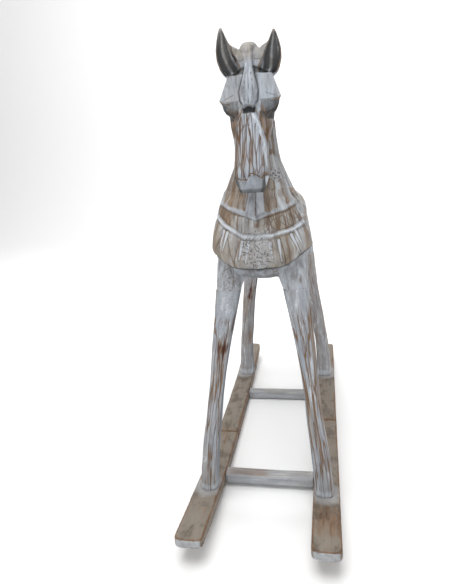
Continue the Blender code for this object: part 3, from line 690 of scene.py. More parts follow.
bodyLook = {
    "voxel": 0.0022, "neckVoxel": 0.0014, "axisBack": 0.0807, "grainWidth": 0.078,
    "upperRidge": (0.136, 0.026), "lowerRidge": (0.103, 0.026), "ridgeWidth": 0.0036, "ridgeHeight": 0.0016,
    "skirtEdge": (0.054, 0.026),
    "upperRise": ((-90, 0.003), (-30, 0.003), (0, 0.0045), (20, 0.001), (40, 0)),
    "lowerRise": ((-90, 0.014), (-60, 0.014), (-35, 0.011), (-14, 0.0065), (14, 0.0065), (25, 0.004), (45, 0)),
    "wedges": (-62, -46, -27, -16, 0, 13, 29, 46, 62),
    "wedgeBare": (0.25, 0.2, 0.42, 0.52, -0.05, -0.9, 0.25, -0.2, 0.25, 0.1),
    "wedgeWarm": (0.2, 0.3, 0.5, 0.4, -0.1, -0.6, 0.1, 0.2, 0.4, 0.3),
    "bandPanels": (-70, -56, -41, -24, -12, 16, 27, 37, 47, 58, 72),
    # turn and lean of each gap
    "skirtPanels": ((-58, 12), (-31, 9), (-27, -7), (5, 3), (34, -5), (39, -4), (75, -6), (-66, 6)),
    "whiteCuts": (  # turn and height at the top, turn and height at the point
        (-44, 0.120, -50, 0.093), (-38, 0.118, -46, 0.086), (-17, 0.102, -22, 0.072), (-9.5, 0.101, -14, 0.066),
        (16, 0.099, 17.5, 0.074), (27, 0.102, 29, 0.067), (44, 0.110, 55, 0.077), (51, 0.115, 59, 0.091),
    ),
    "cutWidth": (0.0030, 0.0009), "cutDepth": 0.0013,
    "flankRidge": (  # above, degrees round to the left, degrees round to the right
        (0.083, 84, 92), (0.095, 78, 88), (0.115, 70, 84), (0.140, 64, 80), (0.180, 62, 76),
    ),
    "neckSkirt": (  # height, x, y, half width, half depth, flowing from the collar into the neck
        (0.556, 0, -0.150, 0.0605, 0.0520), (0.566, 0, -0.150, 0.0560, 0.0505),
        (0.578, 0, -0.150, 0.0505, 0.0480),
        (0.592, 0, -0.150, 0.0448, 0.0450), (0.604, 0, -0.151, 0.0400, 0.0430),
        (0.616, 0, -0.152, 0.0350, 0.0390),
    ),
    "bodySkirt": (
        (0.490, 0, -0.150, 0.0805, 0.0710), (0.505, 0, -0.150, 0.0785, 0.0690),
        (0.520, 0, -0.150, 0.0750, 0.0660),
        (0.535, 0, -0.150, 0.0700, 0.0600), (0.548, 0, -0.150, 0.0645, 0.0545),
        (0.5595, 0, -0.150, 0.0600, 0.0520),
    ),
    "neckCracks": {  # by side: width, then points behind the collar's axis and above the body
        1: (
            (0.0012, ((-0.030, 0.300), (-0.034, 0.255))), (0.0012, ((-0.020, 0.310), (-0.022, 0.262))),
            (0.0012, ((0.000, 0.300), (-0.004, 0.230))), (0.0012, ((0.030, 0.280), (0.026, 0.205))),
        ),
        -1: ((0.0012, ((-0.024, 0.290), (-0.030, 0.215))), (0.0012, ((0.012, 0.300), (0.006, 0.200)))),
    },
    "fillerPatches": (  # turn and height of the middle, half of each
        (42, 0.227, 9, 0.0110), (44, 0.1885, 9, 0.0065), (58, 0.191, 10, 0.008),
    ),
    "straps": (
        ((-0.020, 0.176), (-0.004, 0.150), (0.010, 0.122)), ((-0.004, 0.174), (0.016, 0.148), (0.032, 0.118)),
        ((0.030, 0.172), (0.054, 0.146), (0.066, 0.118)),
    ),
    "saddle": (0.2207, 0.3647), "girth": (0.275, 0.305),
}


def upright(turn, bound, lean, up, size, width):
    # 1 on a leaning upright line at one turn about the collar's axis
    return rounded((turn - bound - lean * up) * size * math.pi / 180, width)


def chestMarks(local, look):
    # everything carved on the chest, as heights and paint, for points about the collar's axis
    x, back, above = local.T
    turn = np.degrees(np.arctan2(x, -back))
    spread = np.abs(np.sin(np.radians(turn)))
    far = np.abs(turn)
    size = np.hypot(x, back)
    flank = np.where(turn > 0, alongRows(above, look["flankRidge"], 1), alongRows(above, look["flankRidge"], 2))
    within = ramp(flank - far, -1.0, 1.0)
    waver = 0.0009 * roughness(np.stack([turn / 13, above * 0, turn * 0], axis=1), (1, 1, 1), 17)
    upper = look["upperRidge"][0] + look["upperRidge"][1] * spread + 0.018 * ramp(far, 76, 100) + waver
    upper += alongRows(turn, look["upperRise"], 1)
    lower = look["lowerRidge"][0] + look["lowerRidge"][1] * np.clip((spread - 0.28) / 0.72, 0, 1)
    lower += 0.012 * ramp(far, 80, 104) + waver + alongRows(turn, look["lowerRise"], 1)
    edge = look["skirtEdge"][0] + look["skirtEdge"][1] * ramp(spread, 0.42, 0.97) + 1.4 * waver
    width = look["ridgeWidth"]
    ridges = (
        np.maximum(rounded(above - upper, width * 0.75) * 0.8, rounded(above - lower, width * 0.85)) * within
    )
    rear = rounded((far - flank) * size * math.pi / 180, width) * ramp(above, 0.075, 0.085)
    ridges = np.maximum(ridges, rear * 0.85 * ramp(above, 0.190, 0.180))
    skirt = ramp(above - edge, -0.0006, 0.0012) * within
    undercut = ramp(edge - above, -0.0006, 0.0012) * ramp(edge - above, 0.022, 0.004) * within
    beside = np.maximum(rounded(above - upper + 0.0042, 0.0022), rounded(above - lower + 0.0052, 0.0024))
    beside = np.maximum(beside, rounded(above - lower - 0.0050, 0.0020)) * within

    # cuts with the wash left white in them
    cuts, cutSides = np.zeros(len(x)), np.zeros(len(x))
    flat = np.stack([np.radians(turn) * size, above], axis=1)
    for topTurn, top, endTurn, end in look["whiteCuts"]:
        path = np.array([[math.radians(topTurn) * 0.080, top], [math.radians(endTurn) * 0.083, end]])
        distance, along = distanceToPath(flat, path)
        wide = look["cutWidth"][0] + (look["cutWidth"][1] - look["cutWidth"][0]) * along
        cuts = np.maximum(cuts, np.clip(1 - distance / wide, 0, 1) * within * (above < lower + 0.003))
        beyond = rounded(distance - wide - 0.0008, 0.0013)
        cutSides = np.maximum(cutSides, beyond * within * (above < lower - 0.002))

    # wedges over the upper ridge, and panels in the band and the skirt
    wedge = np.digitize(turn, look["wedges"])
    aboveRidge = ramp(above - upper, 0.003, 0.006) * within * ramp(above, 0.235, 0.200)
    band = ramp(above - lower, 0.004, 0.006) * ramp(upper - above, 0.003, 0.005) * within
    seams, panels = np.zeros(len(x)), np.zeros(len(x))
    for bound in look["wedges"]:
        line = upright(turn, bound, 3.0 * math.sin(bound * 7.0), (above - upper) / 0.03, size, 0.0019)
        seams = np.maximum(seams, line * aboveRidge * (far < 75))
    for bound in look["bandPanels"]:
        line = upright(turn, bound, 1.5 * math.sin(bound * 3.0), (above - lower) / 0.03, size, 0.0017)
        panels = np.maximum(panels, line * band)
    for bound, lean in look["skirtPanels"]:
        line = upright(turn, bound, lean, (above - edge) / 0.04, size, 0.0015)
        panels = np.maximum(panels, line * skirt * (above < lower - 0.005))
    middle = (turn / 19) ** 2 + ((above - 0.085) / 0.038) ** 2 + 0.3 * roughness(local, (60, 60, 60), 23)
    filler = ramp(middle, 1.25, 0.7) * within
    lumps = roughness(local, (330, 330, 330), 11, 2)
    sawtooth = (turn - np.array((-90,) + look["wedges"])[np.clip(wedge, 0, len(look["wedges"]))]) / 16

    height = look["ridgeHeight"] * ridges - 0.0006 * beside * (1 - cuts) + 0.0010 * skirt - 0.0026 * undercut
    height += 0.0006 * filler * lumps + 0.0008 * ramp(far - flank, -14, -1) * within
    height -= look["cutDepth"] * cuts + 0.0006 * seams + 0.0005 * panels
    height += 0.0010 * (0.5 - np.clip(sawtooth, 0, 1)) * aboveRidge * (far < 70)

    below = skirt * (above < lower - 0.003)
    white = np.maximum(ridges, ramp(cuts, 0.05, 0.3))
    lowerOnly = ridges - 0.6 * rounded(above - upper, width) * within
    leftBand = ramp(-turn, 14, 22) * (0.26 + 0.36 * ramp(-turn, 34, 42))
    bare = aboveRidge * np.array(look["wedgeBare"])[wedge] + 1.0 * seams + 0.75 * panels + 0.6 * cutSides
    bare += (
        band * (leftBand + 0.20 * ramp(turn, 40, 52) - 0.15 * ramp(turn, 5, 15) - 0.3 * ramp(24 - far, 0, 10))
    )
    bare += below * (0.02 + 0.40 * ramp(far, 50, 66) - 0.15 * (turn > 0) - 0.25 * ramp(22 - far, 0, 6))
    bare += 0.5 * rounded(above - edge, 0.0030) * within - 1.3 * np.maximum(lowerOnly, ramp(cuts, 0.05, 0.3))
    bare += 0.70 * rounded(above - upper + 0.0045, 0.0034) * within * ramp(far, 6, 14)
    warm = aboveRidge * np.array(look["wedgeWarm"])[wedge] + 0.45 * band + 0.35 * below - 0.9 * white
    # painted shade in the channels beside the ridges, beside the white cuts and under the skirt's overhang
    shade = 0.42 * beside * (1 - cuts) + 0.2 * cutSides + 0.45 * undercut * ramp(edge - above, 0.012, 0.0)
    return {
        "height": height, "bare": bare, "warm": warm * (far < 110),
        "filler": filler * (1 - 0.6 * ridges) * (0.75 + 0.25 * lumps),
        "lines": 0.35 * band * (turn > 10) - 0.4 * ridges - 0.3 * filler - 0.3 * (1 - band), "within": within,
        "dark": 0.3 * seams * (far < 8) + 0.35 * seams + 0.4 * rounded(above - edge, 0.0030) * within,
        # the shade here adds a line of painted shade along the skirt's lower edge
        "shade": shade + 1.1 * rounded(above - edge + 0.0008, 0.0046) * within, "turn": turn, "skirtEdge": edge,
        "grain": np.stack([np.radians(turn) * look["grainWidth"], size * 0.3, above], axis=1),
    }


def buildNeck(look):
    bodyLow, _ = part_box("body_block")
    low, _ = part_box("neck_block")
    origin = np.array([0, bodyLow.y + look["axisBack"], bodyLow.z])
    bm = weldedCopy("neck_block")
    foot = [v for v in bm.verts if v.co.z < low.z + 0.0001]
    bmesh.ops.translate(bm, verts=foot, vec=(0, 0, -0.004))
    loft(bm, look["neckSkirt"], 48, 2.0, 0.003)
    piece = fused(bm, "carvedNeck", look["neckVoxel"], 6)
    mesh = piece.data
    local, normals = measured(mesh, origin)
    marks = chestMarks(local, look)
    x, back, above = local.T
    turn = marks["turn"]
    mane = ramp(0.015 - np.abs(x), -0.001, 0.0015) * ramp(normals[:, 1], 0.2, 0.5)
    ribs = maneRibs(x, back, above)
    facets = np.abs(np.sin(turn * math.pi / 44)) - 0.6
    upper = ramp(above, 0.20, 0.23)
    height = (
        marks["height"] * (1 - upper) + 0.0011 * facets * upper
        + roughness(local, (55, 55, 14), 5, 3) * 0.0007
    )
    height += mane * (0.0018 + 0.0013 * (ribs - 0.5)) * ramp(above, 0.186, 0.192)
    cracks = sum(nearPaths(back, above, rows, x * side > 0.008) for side, rows in look["neckCracks"].items())
    raiseBy(mesh, height - 0.0007 * cracks)

    # smooth patches of filler on the near side
    patches = np.zeros(len(x))
    for middleTurn, middle, halfTurn, half in look["fillerPatches"]:
        apart = np.abs((turn - middleTurn) / halfTurn) ** 4 + np.abs((above - middle) / half) ** 4
        patches = np.maximum(patches, ramp(apart, 1.15, 0.85))
    speckled = ramp(np.abs((turn - 42) / 14) ** 3 + np.abs((above - 0.2065) / 0.009) ** 3, 1.3, 0.8)
    upperGap = rounded(above - 0.244, 0.005) * ramp(np.abs(turn - 42), 11, 7)
    lowerGap = rounded(above - 0.1785, 0.006) * ramp(np.abs(turn - 42), 20, 12)
    bare = (
        marks["bare"] * (1 - upper) + 0.26 * upper - 0.6 * patches + 0.7 * (upperGap + lowerGap)
        + 0.3 * cracks
    )
    # painted shade in the cracks and between the mane's ribs
    paint(
        mesh, marks["grain"] + 0.4, bare=bare, lines=0.05 - 0.5 * patches, warm=marks["warm"] + 0.2 * patches,
        edge=ramp(sharpness(mesh, 3), 0.00010, 0.0005) * ramp(above, 0.187, 0.195),
        dark=marks["dark"] * (1 - upper) + 0.45 * upperGap + 0.35 * lowerGap + 0.3 * cracks,
        hollow=0.25 * cracks + 0.30 * mane * (1 - ribs), filler=speckled * (1 - patches) + 0.25 * patches,
    )
    finish(piece, materials["chest"], "neck_block")


def refineFront(mesh, origin):
    # faces half the size over the chest, where the carving is fine
    bm = bmesh.new()
    bm.from_mesh(mesh)
    near = {v for v in bm.verts if v.co.y < origin[1] + 0.045 and v.co.z > origin[2] + 0.035}
    edges = [e for e in bm.edges if e.verts[0] in near and e.verts[1] in near]
    bmesh.ops.subdivide_edges(bm, edges=edges, cuts=1, use_grid_fill=True)
    bmesh.ops.triangulate(bm, faces=[f for f in bm.faces if len(f.verts) > 4])
    smoothed(bm, [v for v in bm.verts if v.co.y < origin[1] + 0.045], 3)
    bm.to_mesh(mesh)
    bm.free()


def buildBody(look):
    low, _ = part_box("body_block")
    origin = np.array([0, low.y + look["axisBack"], low.z])
    bm = weldedCopy("body_block")
    loft(bm, look["bodySkirt"], 48, 2.0, 0.003)
    piece = fused(bm, "carvedBody", look["voxel"], 5)
    mesh = piece.data
    refineFront(mesh, origin)
    local, normals = measured(mesh, origin)
    x, back, above = local.T
    outside = ramp(np.abs(above - 0.185), 0.0004, 0.001) * ramp(above, 0.001, 0.004)
    marks = chestMarks(local, look)
    flank = 1 - marks["within"]

    # saddle, girth and straps
    fromNose = back + look["axisBack"]
    front, rear = look["saddle"]
    onTop = ramp(above, 0.085, 0.100)
    saddleEdge = (
        np.maximum(rounded(fromNose - front - 0.006, 0.005), rounded(fromNose - rear + 0.004, 0.006)) * onTop
    )
    flap = 0.074 + 0.012 * np.cos((fromNose - (front + rear) / 2) / (rear - front) * math.pi)
    flapEdge = (
        rounded(above - flap, 0.0040) * ramp(fromNose, front, front + 0.004) * ramp(rear - fromNose, 0, 0.004)
    )
    saddleArea = (
        ramp(fromNose, front, front + 0.006) * ramp(rear - fromNose, 0, 0.006)
        * ramp(above, flap, flap + 0.003)
    )
    start, end = look["girth"]
    girth = (
        ramp(fromNose, start, start + 0.002) * ramp(end - fromNose, 0, 0.002)
        * ramp(flap - above, -0.001, 0.002)
    )
    girthEdges = (
        girth * np.maximum(rounded(fromNose - start - 0.003, 0.0022), rounded(end - fromNose - 0.003, 0.0022))
    )
    strapGap = (
        np.min([distanceToPath(np.stack([back, above], axis=1), path)[0] for path in look["straps"]], axis=0)
    )
    straps = rounded(strapGap, 0.0036) * (np.abs(x) > 0.03)
    strapSides = rounded(strapGap - 0.0046, 0.0022) * (np.abs(x) > 0.03)
    mane = (
        ramp(0.015 - np.abs(x), -0.001, 0.0015) * ramp(normals[:, 1], 0.05, 0.4) * (back > 0)
        * (fromNose < front)
    )
    ribs = maneRibs(x, back, above)
    carved = roughness(np.stack([x, above, back], axis=1), (42, 42, 16), 3, 3)
    patch = (
        ramp(np.hypot((x + 0.066) / 0.022, (above - 0.018) / 0.034), 1.1, 0.6)
        * ramp(-normals[:, 1], 0.1, 0.5)
    )
    height = marks["height"] + 0.0009 * carved * (1 - 0.7 * marks["within"]) + 0.0004 * carved
    height += (
        0.0016 * saddleEdge + 0.0014 * flapEdge + 0.0008 * saddleArea + 0.0012 * girth + 0.0008 * girthEdges
    )
    height += mane * (0.0018 + 0.0013 * (ribs - 0.5)) + 0.0013 * straps * flank
    height += 0.0012 * patch * np.maximum(-0.3, roughness(local, (210, 210, 150), 77, 3))
    raiseBy(mesh, height * outside)

    worn = sharpness(mesh, 3)
    # faces turned down, low on the body, are darkened with painted shade
    under = ramp(-normals[:, 2], 0.25, 0.9) * ramp(above, 0.09, 0.05)
    joined = ramp(above, 0.178, 0.184)
    legs = (
        np.maximum(ramp(0.050 - above, 0, 0.02), ramp(marks["skirtEdge"] - above, 0, 0.004) * marks["within"])
    )
    harness = 0.9 * np.maximum(straps, saddleEdge) + 0.7 * flapEdge - 0.25 * saddleArea - 0.5 * strapSides
    alongBack = np.stack([x + 0.5, above, back * 0.9], axis=1)
    downLegs = np.stack([x + 0.2, back, above], axis=1)
    onLegs = above < np.where(marks["within"] > 0.5, marks["skirtEdge"], 0.046)
    grain = np.where((marks["within"] > 0.5)[:, None], marks["grain"], alongBack)
    # painted shade: the chest's, on the undersides, between the mane's ribs and in hollows
    hollow = (
        marks["shade"] + 0.40 * under + 0.30 * mane * (1 - ribs)
        + ramp(-worn, 0.0002, 0.0010) * 0.35 * (1 - joined)
    )
    paint(
        mesh, np.where(onLegs[:, None], downLegs, grain) + 0.4,
        bare=marks["bare"] + flank * (0.12 - harness) - 0.25 * legs,
        edge=ramp(worn, 0.00012, 0.0007) * (1 - joined), hollow=hollow,
        filler=np.maximum(marks["filler"], 0.5 * patch),
        dark=marks["dark"] + 0.15 * rounded(above - 0.006, 0.004) * (np.abs(x) < 0.03),
        lines=marks["lines"] * (1 - legs) - 0.12 * legs, warm=marks["warm"] + flank * 0.15 - 0.45 * legs,
    )
    finish(piece, materials["chest"], "body_block")


buildNeck(bodyLook)
buildBody(bodyLook)


tailLook = {"voxel": 0.0011, "strands": 9, "strandDepth": 0.0012, "twist": 26}


def buildTail(look):
    low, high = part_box("tail")
    piece = fused(weldedCopy("tail"), "carvedTail", look["voxel"], 4)
    mesh = piece.data
    local, _ = measured(mesh, np.array([0, (low.y + high.y) / 2, low.z]))
    x, back, above = local.T
    turn = np.arctan2(x, back + 0.004)
    strands = np.abs(np.sin(turn * look["strands"] / 2 + above * look["twist"] + 0.6 * np.sin(above * 60)))
    free = ramp(back, -0.0105, -0.0085)
    raiseBy(
        mesh, (look["strandDepth"] * (strands - 0.6) + 0.0005 * roughness(local, (70, 70, 15), 8, 3)) * free
    )
    # painted shade between the strands
    paint(
        mesh, local + 0.7, bare=0.30 * ramp(0.05 - above, 0, 0.03) + 0.12, lines=-0.1, warm=0.1,
        edge=ramp(sharpness(mesh, 2), 0.00004, 0.0003), hollow=0.40 * (1 - ramp(strands, 0.0, 0.35)),
    )
    finish(piece, materials["head"], "tail")


buildTail(tailLook)


legsLook = {
    "voxel": 0.0012, "facetDepth": 0.0008, "seated": 0.004, "slices": 24,
    "cracks": (  # turn from the front in degrees, lowest and highest point as parts of the leg, width
        (-8, 0.03, 0.30, 0.0011), (14, 0.10, 0.55, 0.0010), (36, 0.02, 0.42, 0.0009), (-34, 0.22, 0.70, 0.0011),
        (24, 0.52, 0.86, 0.0012), (-18, 0.45, 0.66, 0.0009), (58, 0.30, 0.78, 0.0010),
        (-62, 0.05, 0.48, 0.0009),
        (120, 0.10, 0.60, 0.0011), (165, 0.35, 0.90, 0.0010), (-130, 0.20, 0.75, 0.0010),
        (-160, 0.02, 0.40, 0.0011),
        (4, 0.70, 0.93, 0.0010), (82, 0.55, 0.95, 0.0009), (-95, 0.50, 0.92, 0.0010),
    ),
    "marks": {  # kind, turn and half of it in degrees, lowest and highest point as parts of the leg
        "front_right_leg": (
            ("filler", 18, 52, 0.84, 1.05), ("filler", 5, 30, 0.76, 0.88), ("stain", 22, 75, 0.64, 0.82),
            ("stain", 2, 9, 0.60, 0.80), ("stain", 62, 20, 0.74, 0.92),
        ),
        "front_left_leg": (
            ("clean", -30, 60, 0.84, 1.05), ("filler", -4, 20, 0.72, 0.84), ("stain", 75, 16, 0.80, 0.98),
        ),
        "rear_right_leg": (
            ("stain", 10, 22, 0.62, 0.86), ("stain", 60, 20, 0.70, 1.0), ("clean", 20, 50, 0.0, 0.30),
        ),
        "rear_left_leg": (("stain", 70, 25, 0.55, 0.85), ("clean", 0, 60, 0.0, 0.32)),
    },
}


def buildLeg(node, material, look, seed):
    low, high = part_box(node)
    bm = weldedCopy(node)
    top = [v for v in bm.verts if v.co.z > high.z - 0.0001]
    bmesh.ops.translate(bm, verts=top, vec=(0, 0, look["seated"]))  # runs on a little way into the body
    piece = fused(bm, pieceName("carved", node), look["voxel"], 4)
    mesh = piece.data
    places, normals = measured(mesh)
    part = (places[:, 2] - low.z) / (high.z - low.z)

    # the leg's own middle line, and the turn of each point about it
    slices = look["slices"]
    nearest = np.clip(np.round(part * (slices - 1)).astype(int), 0, slices - 1)
    away = np.stack([
        places[:, axis] - np.interp(part, np.linspace(0, 1, slices), [
            (places[nearest == k, axis].max() + places[nearest == k, axis].min()) / 2 for k in range(slices)
        ]) for axis in (0, 1)
    ], axis=1)
    turn = np.degrees(np.arctan2(away[:, 0], -away[:, 1]))

    def around(angle):
        return np.abs((turn - angle + 180) % 360 - 180)

    grain = np.stack([away[:, 0] + seed * 0.13, away[:, 1], places[:, 2] - low.z], axis=1)
    outside = ramp(np.abs(normals[:, 2]), 0.95, 0.6)
    facets = np.cos(np.radians(turn * 8 + 20 * np.sin(part * 5 + seed)))
    cracks = np.zeros(len(places))
    for angle, start, end, width in look["cracks"]:
        sway = 5 * np.sin(part * (17 + seed) + angle) + (seed * 37) % 23 - 11
        distance = around(angle + sway) * np.hypot(*away.T) * math.pi / 180
        ends = ramp(part, start, start + 0.04) * ramp(end - part, 0, 0.05)
        cracks = np.maximum(cracks, rounded(distance, width * 1.3) * ends)
    areas = {kind: np.zeros(len(places)) for kind in ("filler", "stain", "clean")}
    ragged = 0.05 * roughness(places, (120, 120, 12), seed + 5)
    spread = 0.6 * roughness(places, (90, 90, 25), seed + 3)
    for kind, angle, halfTurn, start, end in look["marks"][node]:
        area = ramp(around(angle) / halfTurn + spread, 1.3, 0.5)
        area *= ramp(part + ragged, start, start + 0.09) * ramp(end - part + ragged, 0, 0.09)
        areas[kind] = np.maximum(areas[kind], area)
    filler, stain, clean = areas.values()
    lumps = roughness(places, (210, 210, 150), seed + 40, 3)
    height = (
        look["facetDepth"] * facets * ramp(part, 0.98, 0.8) + roughness(grain, (75, 75, 12), seed, 3) * 0.0007
    )
    height += 0.0013 * filler * np.maximum(-0.3, lumps) - 0.0008 * cracks - 0.0005 * stain
    raiseBy(mesh, height * outside)

    worn = sharpness(mesh, 3)
    outward = 100 if low.x > 0 else -100
    outer, inner = ramp(around(outward), 60, 25), ramp(around(-outward), 60, 30)
    foot, lowest = ramp(0.06 - part, 0, 0.03), ramp(0.30 - part, 0, 0.2)
    fade = ramp(1.0 - part, 0.0, 0.12)
    bare = (0.02 + 0.28 * outer) * fade - 0.3 * inner + 0.45 * cracks - 0.5 * filler - 0.25 * clean
    lines = (
        0.10 * ramp(90 - np.abs(turn), 0, 20) - 0.25 * (1 - fade) - 0.3 * inner - 0.3 * filler - 0.15 * clean
    )
    # painted shade in the cracks, in hollows and on the inner side, which is turned from the light
    paint(
        mesh, grain, bare=bare - 0.55 * foot - 0.28 * lowest + 0.3 * stain,
        lines=lines - 0.08 * lowest - 0.1 * foot,
        edge=ramp(worn, 0.00012, 0.0005), dark=0.95 * stain + 0.30 * cracks * ramp(lumps, -0.2, 0.4),
        hollow=0.25 * cracks + 0.42 * inner + ramp(-worn, 0.0002, 0.0008) * 0.3, filler=0.55 * filler,
        warm=0.25 * outer - 0.35 * inner - 0.4 * filler,
    )
    finish(piece, material, node)


for seed, node in enumerate(legsLook["marks"]):
    buildLeg(node, materials["hindLeg" if node.startswith("rear") else "leg"], legsLook, seed + 1)


runnersLook = {
    "voxel": 0.0017, "nickDepth": 0.0016, "dent": 0.0006, "middle": 0.110, "tip": 0.38, "seamWidth": 0.030,
    "footInset": {"front": 0.0165, "rear": 0.0190}, "footSide": 0.0150, "footSpot": (0.034, 0.020),
}


def buildRunner(node, look, seed):
    low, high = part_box(node)
    piece = fused(weldedCopy(node), pieceName("worn", node), look["voxel"], 4)
    mesh = piece.data
    places, normals = measured(mesh)
    x, along, above = places.T
    side = 1 if low.x > 0 else -1
    frontHalf = low.y < -0.3
    grain = np.stack([x - side * look["middle"] + seed * 0.17, above, along], axis=1)
    edge = ramp(sharpness(mesh, 3), 0.00012, 0.00045)
    nicks = ramp(roughness(places, (55, 38, 55), seed + 60, 2), 0.34, 0.6) * edge
    dents = ramp(roughness(places, (90, 60, 90), seed + 70, 2), 0.42, 0.7)
    height = roughness(grain, (65, 65, 10), seed, 3) * 0.0005 - look["nickDepth"] * nicks - look["dent"] * dents
    atTip = np.abs(along) > look["tip"]
    raiseBy(mesh, height * np.where(atTip, 1, ramp(np.abs(normals[:, 1]), 0.97, 0.9)))

    upward = ramp(normals[:, 2], 0.6, 0.9)
    atEnd = ramp(-normals[:, 1] if frontHalf else normals[:, 1], 0.5, 0.85) * atTip
    foot = np.zeros(len(places))
    for leg in legsLook["marks"]:
        legLow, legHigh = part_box(leg)
        if (legLow.x > 0) != (low.x > 0):
            continue
        inset = look["footInset"]
        footY = legLow.y + inset["front"] if leg.startswith("front") else legHigh.y - inset["rear"]
        footX = legHigh.x - look["footSide"] if side > 0 else legLow.x + look["footSide"]
        distance = np.hypot(x - footX, (along - footY) * 0.8)
        ragged = distance + 0.004 * roughness(places, (120, 120, 120), 90 + seed, 2)
        foot = np.maximum(foot, ramp(ragged, *look["footSpot"]))
    front = ramp(-along, 0.28, 0.36)
    smudge = ramp(roughness(places, (20, 11, 20), seed + 80, 2), 0.15, 0.5)
    seam = ramp(look["seamWidth"] - np.abs(along - (high.y if frontHalf else low.y)), 0.0, 0.02)
    # painted shade in the dents and nicks, over a faint even painted shade
    paint(
        mesh, grain, edge=edge, lines=-0.05, warm=0.7 * smudge - 0.25 + 0.35 * seam,
        bare=0.25 * smudge * (1 - front) + 0.20 * front * smudge - 0.9 * atEnd - 0.25 * foot + 0.5 * nicks,
        dark=0.28 * front * smudge * upward + 0.35 * nicks,
        hollow=0.05 + 0.25 * dents + 0.5 * nicks * ramp(roughness(places, (80, 80, 80), 7), 0, 0.3),
        filler=np.clip(0.85 * foot * upward + 1.0 * atEnd * (1 - 0.5 * nicks), 0, 1),
    )
    finish(piece, materials["runner"], node)


barsLook = {"voxel": 0.0014, "waist": 0.07, "painted": (0.070, 0.080)}


def buildBar(node, look, seed):
    low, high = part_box(node)
    piece = fused(weldedCopy(node), pieceName("worn", node), look["voxel"], 4)
    mesh = piece.data
    places = placesOf(mesh)
    x = places[:, 0]
    grain = np.stack([places[:, 1] + seed * 0.21, places[:, 2], x], axis=1)
    middle = (low.z + high.z) / 2
    places[:, 2] = middle + (places[:, 2] - middle) * (1 - look["waist"] * (1 - (x / high.x) ** 2))
    movePlaces(mesh, places)
    raiseBy(mesh, roughness(grain, (70, 70, 14), seed, 3) * 0.0006 * ramp(high.x - np.abs(x), 0, 0.002))
    top = ramp(normalsOf(mesh)[:, 2], 0.5, 0.85)
    # a faint even painted shade over the bars
    paint(
        mesh, grain, bare=0.55 * top * ramp(-x, -0.02, 0.02) * (node == "front_stretcher") + 0.05, hollow=0.02,
        edge=ramp(sharpness(mesh, 3), 0.00015, 0.0006), filler=0.5 * ramp(np.abs(x), *look["painted"]),
        lines=-0.2,
        warm=0.3 * top,
    )
    finish(piece, materials["bar"], node)


for seed, node in enumerate((
    "left_runner_front", "left_runner_rear", "right_runner_front", "right_runner_rear",
)):
    buildRunner(node, runnersLook, seed + 1)
for seed, node in enumerate(("front_stretcher", "rear_stretcher")):
    buildBar(node, barsLook, seed + 11)


# dowels and screws keep their own shapes, with finishes of their own
dowelLook = {
    "light": (0.56, 0.40, 0.24, 1), "dark": (0.40, 0.26, 0.14, 1), "ring": (0.30, 0.18, 0.09, 1),
    "roughness": 0.62,
    "relief": 0.0005,
}
screwLook = {
    "light": (0.60, 0.59, 0.57, 1), "dark": (0.42, 0.41, 0.39, 1), "rust": (0.22, 0.12, 0.06, 1),
    "metallic": 0.9,
    "turned": (160, 160, 2400), "spots": (700, 700, 700), "relief": 0.0002,
}


def dowelWood(name, look, stretch):
    m = Finish(name)
    place = m.add("ShaderNodeTexCoord")["Object"]
    fibre = m.noise(place, stretch, 5.0, 0.6, 0.2)
    pores = m.noise(place, tuple(3 * part for part in stretch), 2.0, 0.5)
    colour = m.blend(m.ramp(fibre, 0.32, 0.68), look["dark"], look["light"])
    m.join(m.blend(m.ramp(pores, 0.62, 0.74, 0.0, 0.6), colour, look["ring"]), "Base Color")
    m.join(m.ramp(fibre, 0.3, 0.7, look["roughness"] + 0.12, look["roughness"] - 0.06), "Roughness")
    m.bump(0.35, look["relief"], fibre)
    return m.material


def screwSteel(name, look):
    m = Finish(name)
    place = m.add("ShaderNodeTexCoord")["Object"]
    turned = m.noise(place, look["turned"], 3.0, 0.6)
    spots = m.noise(place, look["spots"], 3.0, 0.6)
    colour = m.blend(m.ramp(turned, 0.35, 0.65), look["dark"], look["light"])
    m.join(m.blend(m.ramp(spots, 0.62, 0.72, 0.0, 0.7), colour, look["rust"]), "Base Color")
    m.join(m.ramp(spots, 0.4, 0.7, 0.32, 0.62), "Roughness")
    m.shader.inputs["Metallic"].default_value = look["metallic"]
    m.bump(0.2, look["relief"], turned)
    return m.material


uprightDowel = dowelWood("uprightDowel", dowelLook, (500, 500, 45))
lengthwiseDowel = dowelWood("lengthwiseDowel", dowelLook, (500, 45, 500))
crosswiseDowel = dowelWood("crosswiseDowel", dowelLook, (45, 500, 500))
steel = screwSteel("zincScrew", screwLook)
for name, node in nodes.items():
    if name.endswith("_screw"):
        wear = steel
    elif name in ("tail_dowel", "left_runner_dowel", "right_runner_dowel"):
        wear = lengthwiseDowel
    elif "stretcher" in name and name.endswith("_dowel"):
        wear = crosswiseDowel
    elif name.endswith("_dowel"):
        wear = uprightDowel
    else:
        continue
    node.data.materials.clear()
    node.data.materials.append(wear)
print("dowels and screws finished")


stageLook = {
    "width": 14.0, "front": -5.0, "back": 3.0, "bend": 1.6, "bendSteps": 24, "height": 5.0,
    "floorColour": (0.90, 0.90, 0.90, 1), "floorRoughness": 0.9, "worldStrength": 0.55,
}


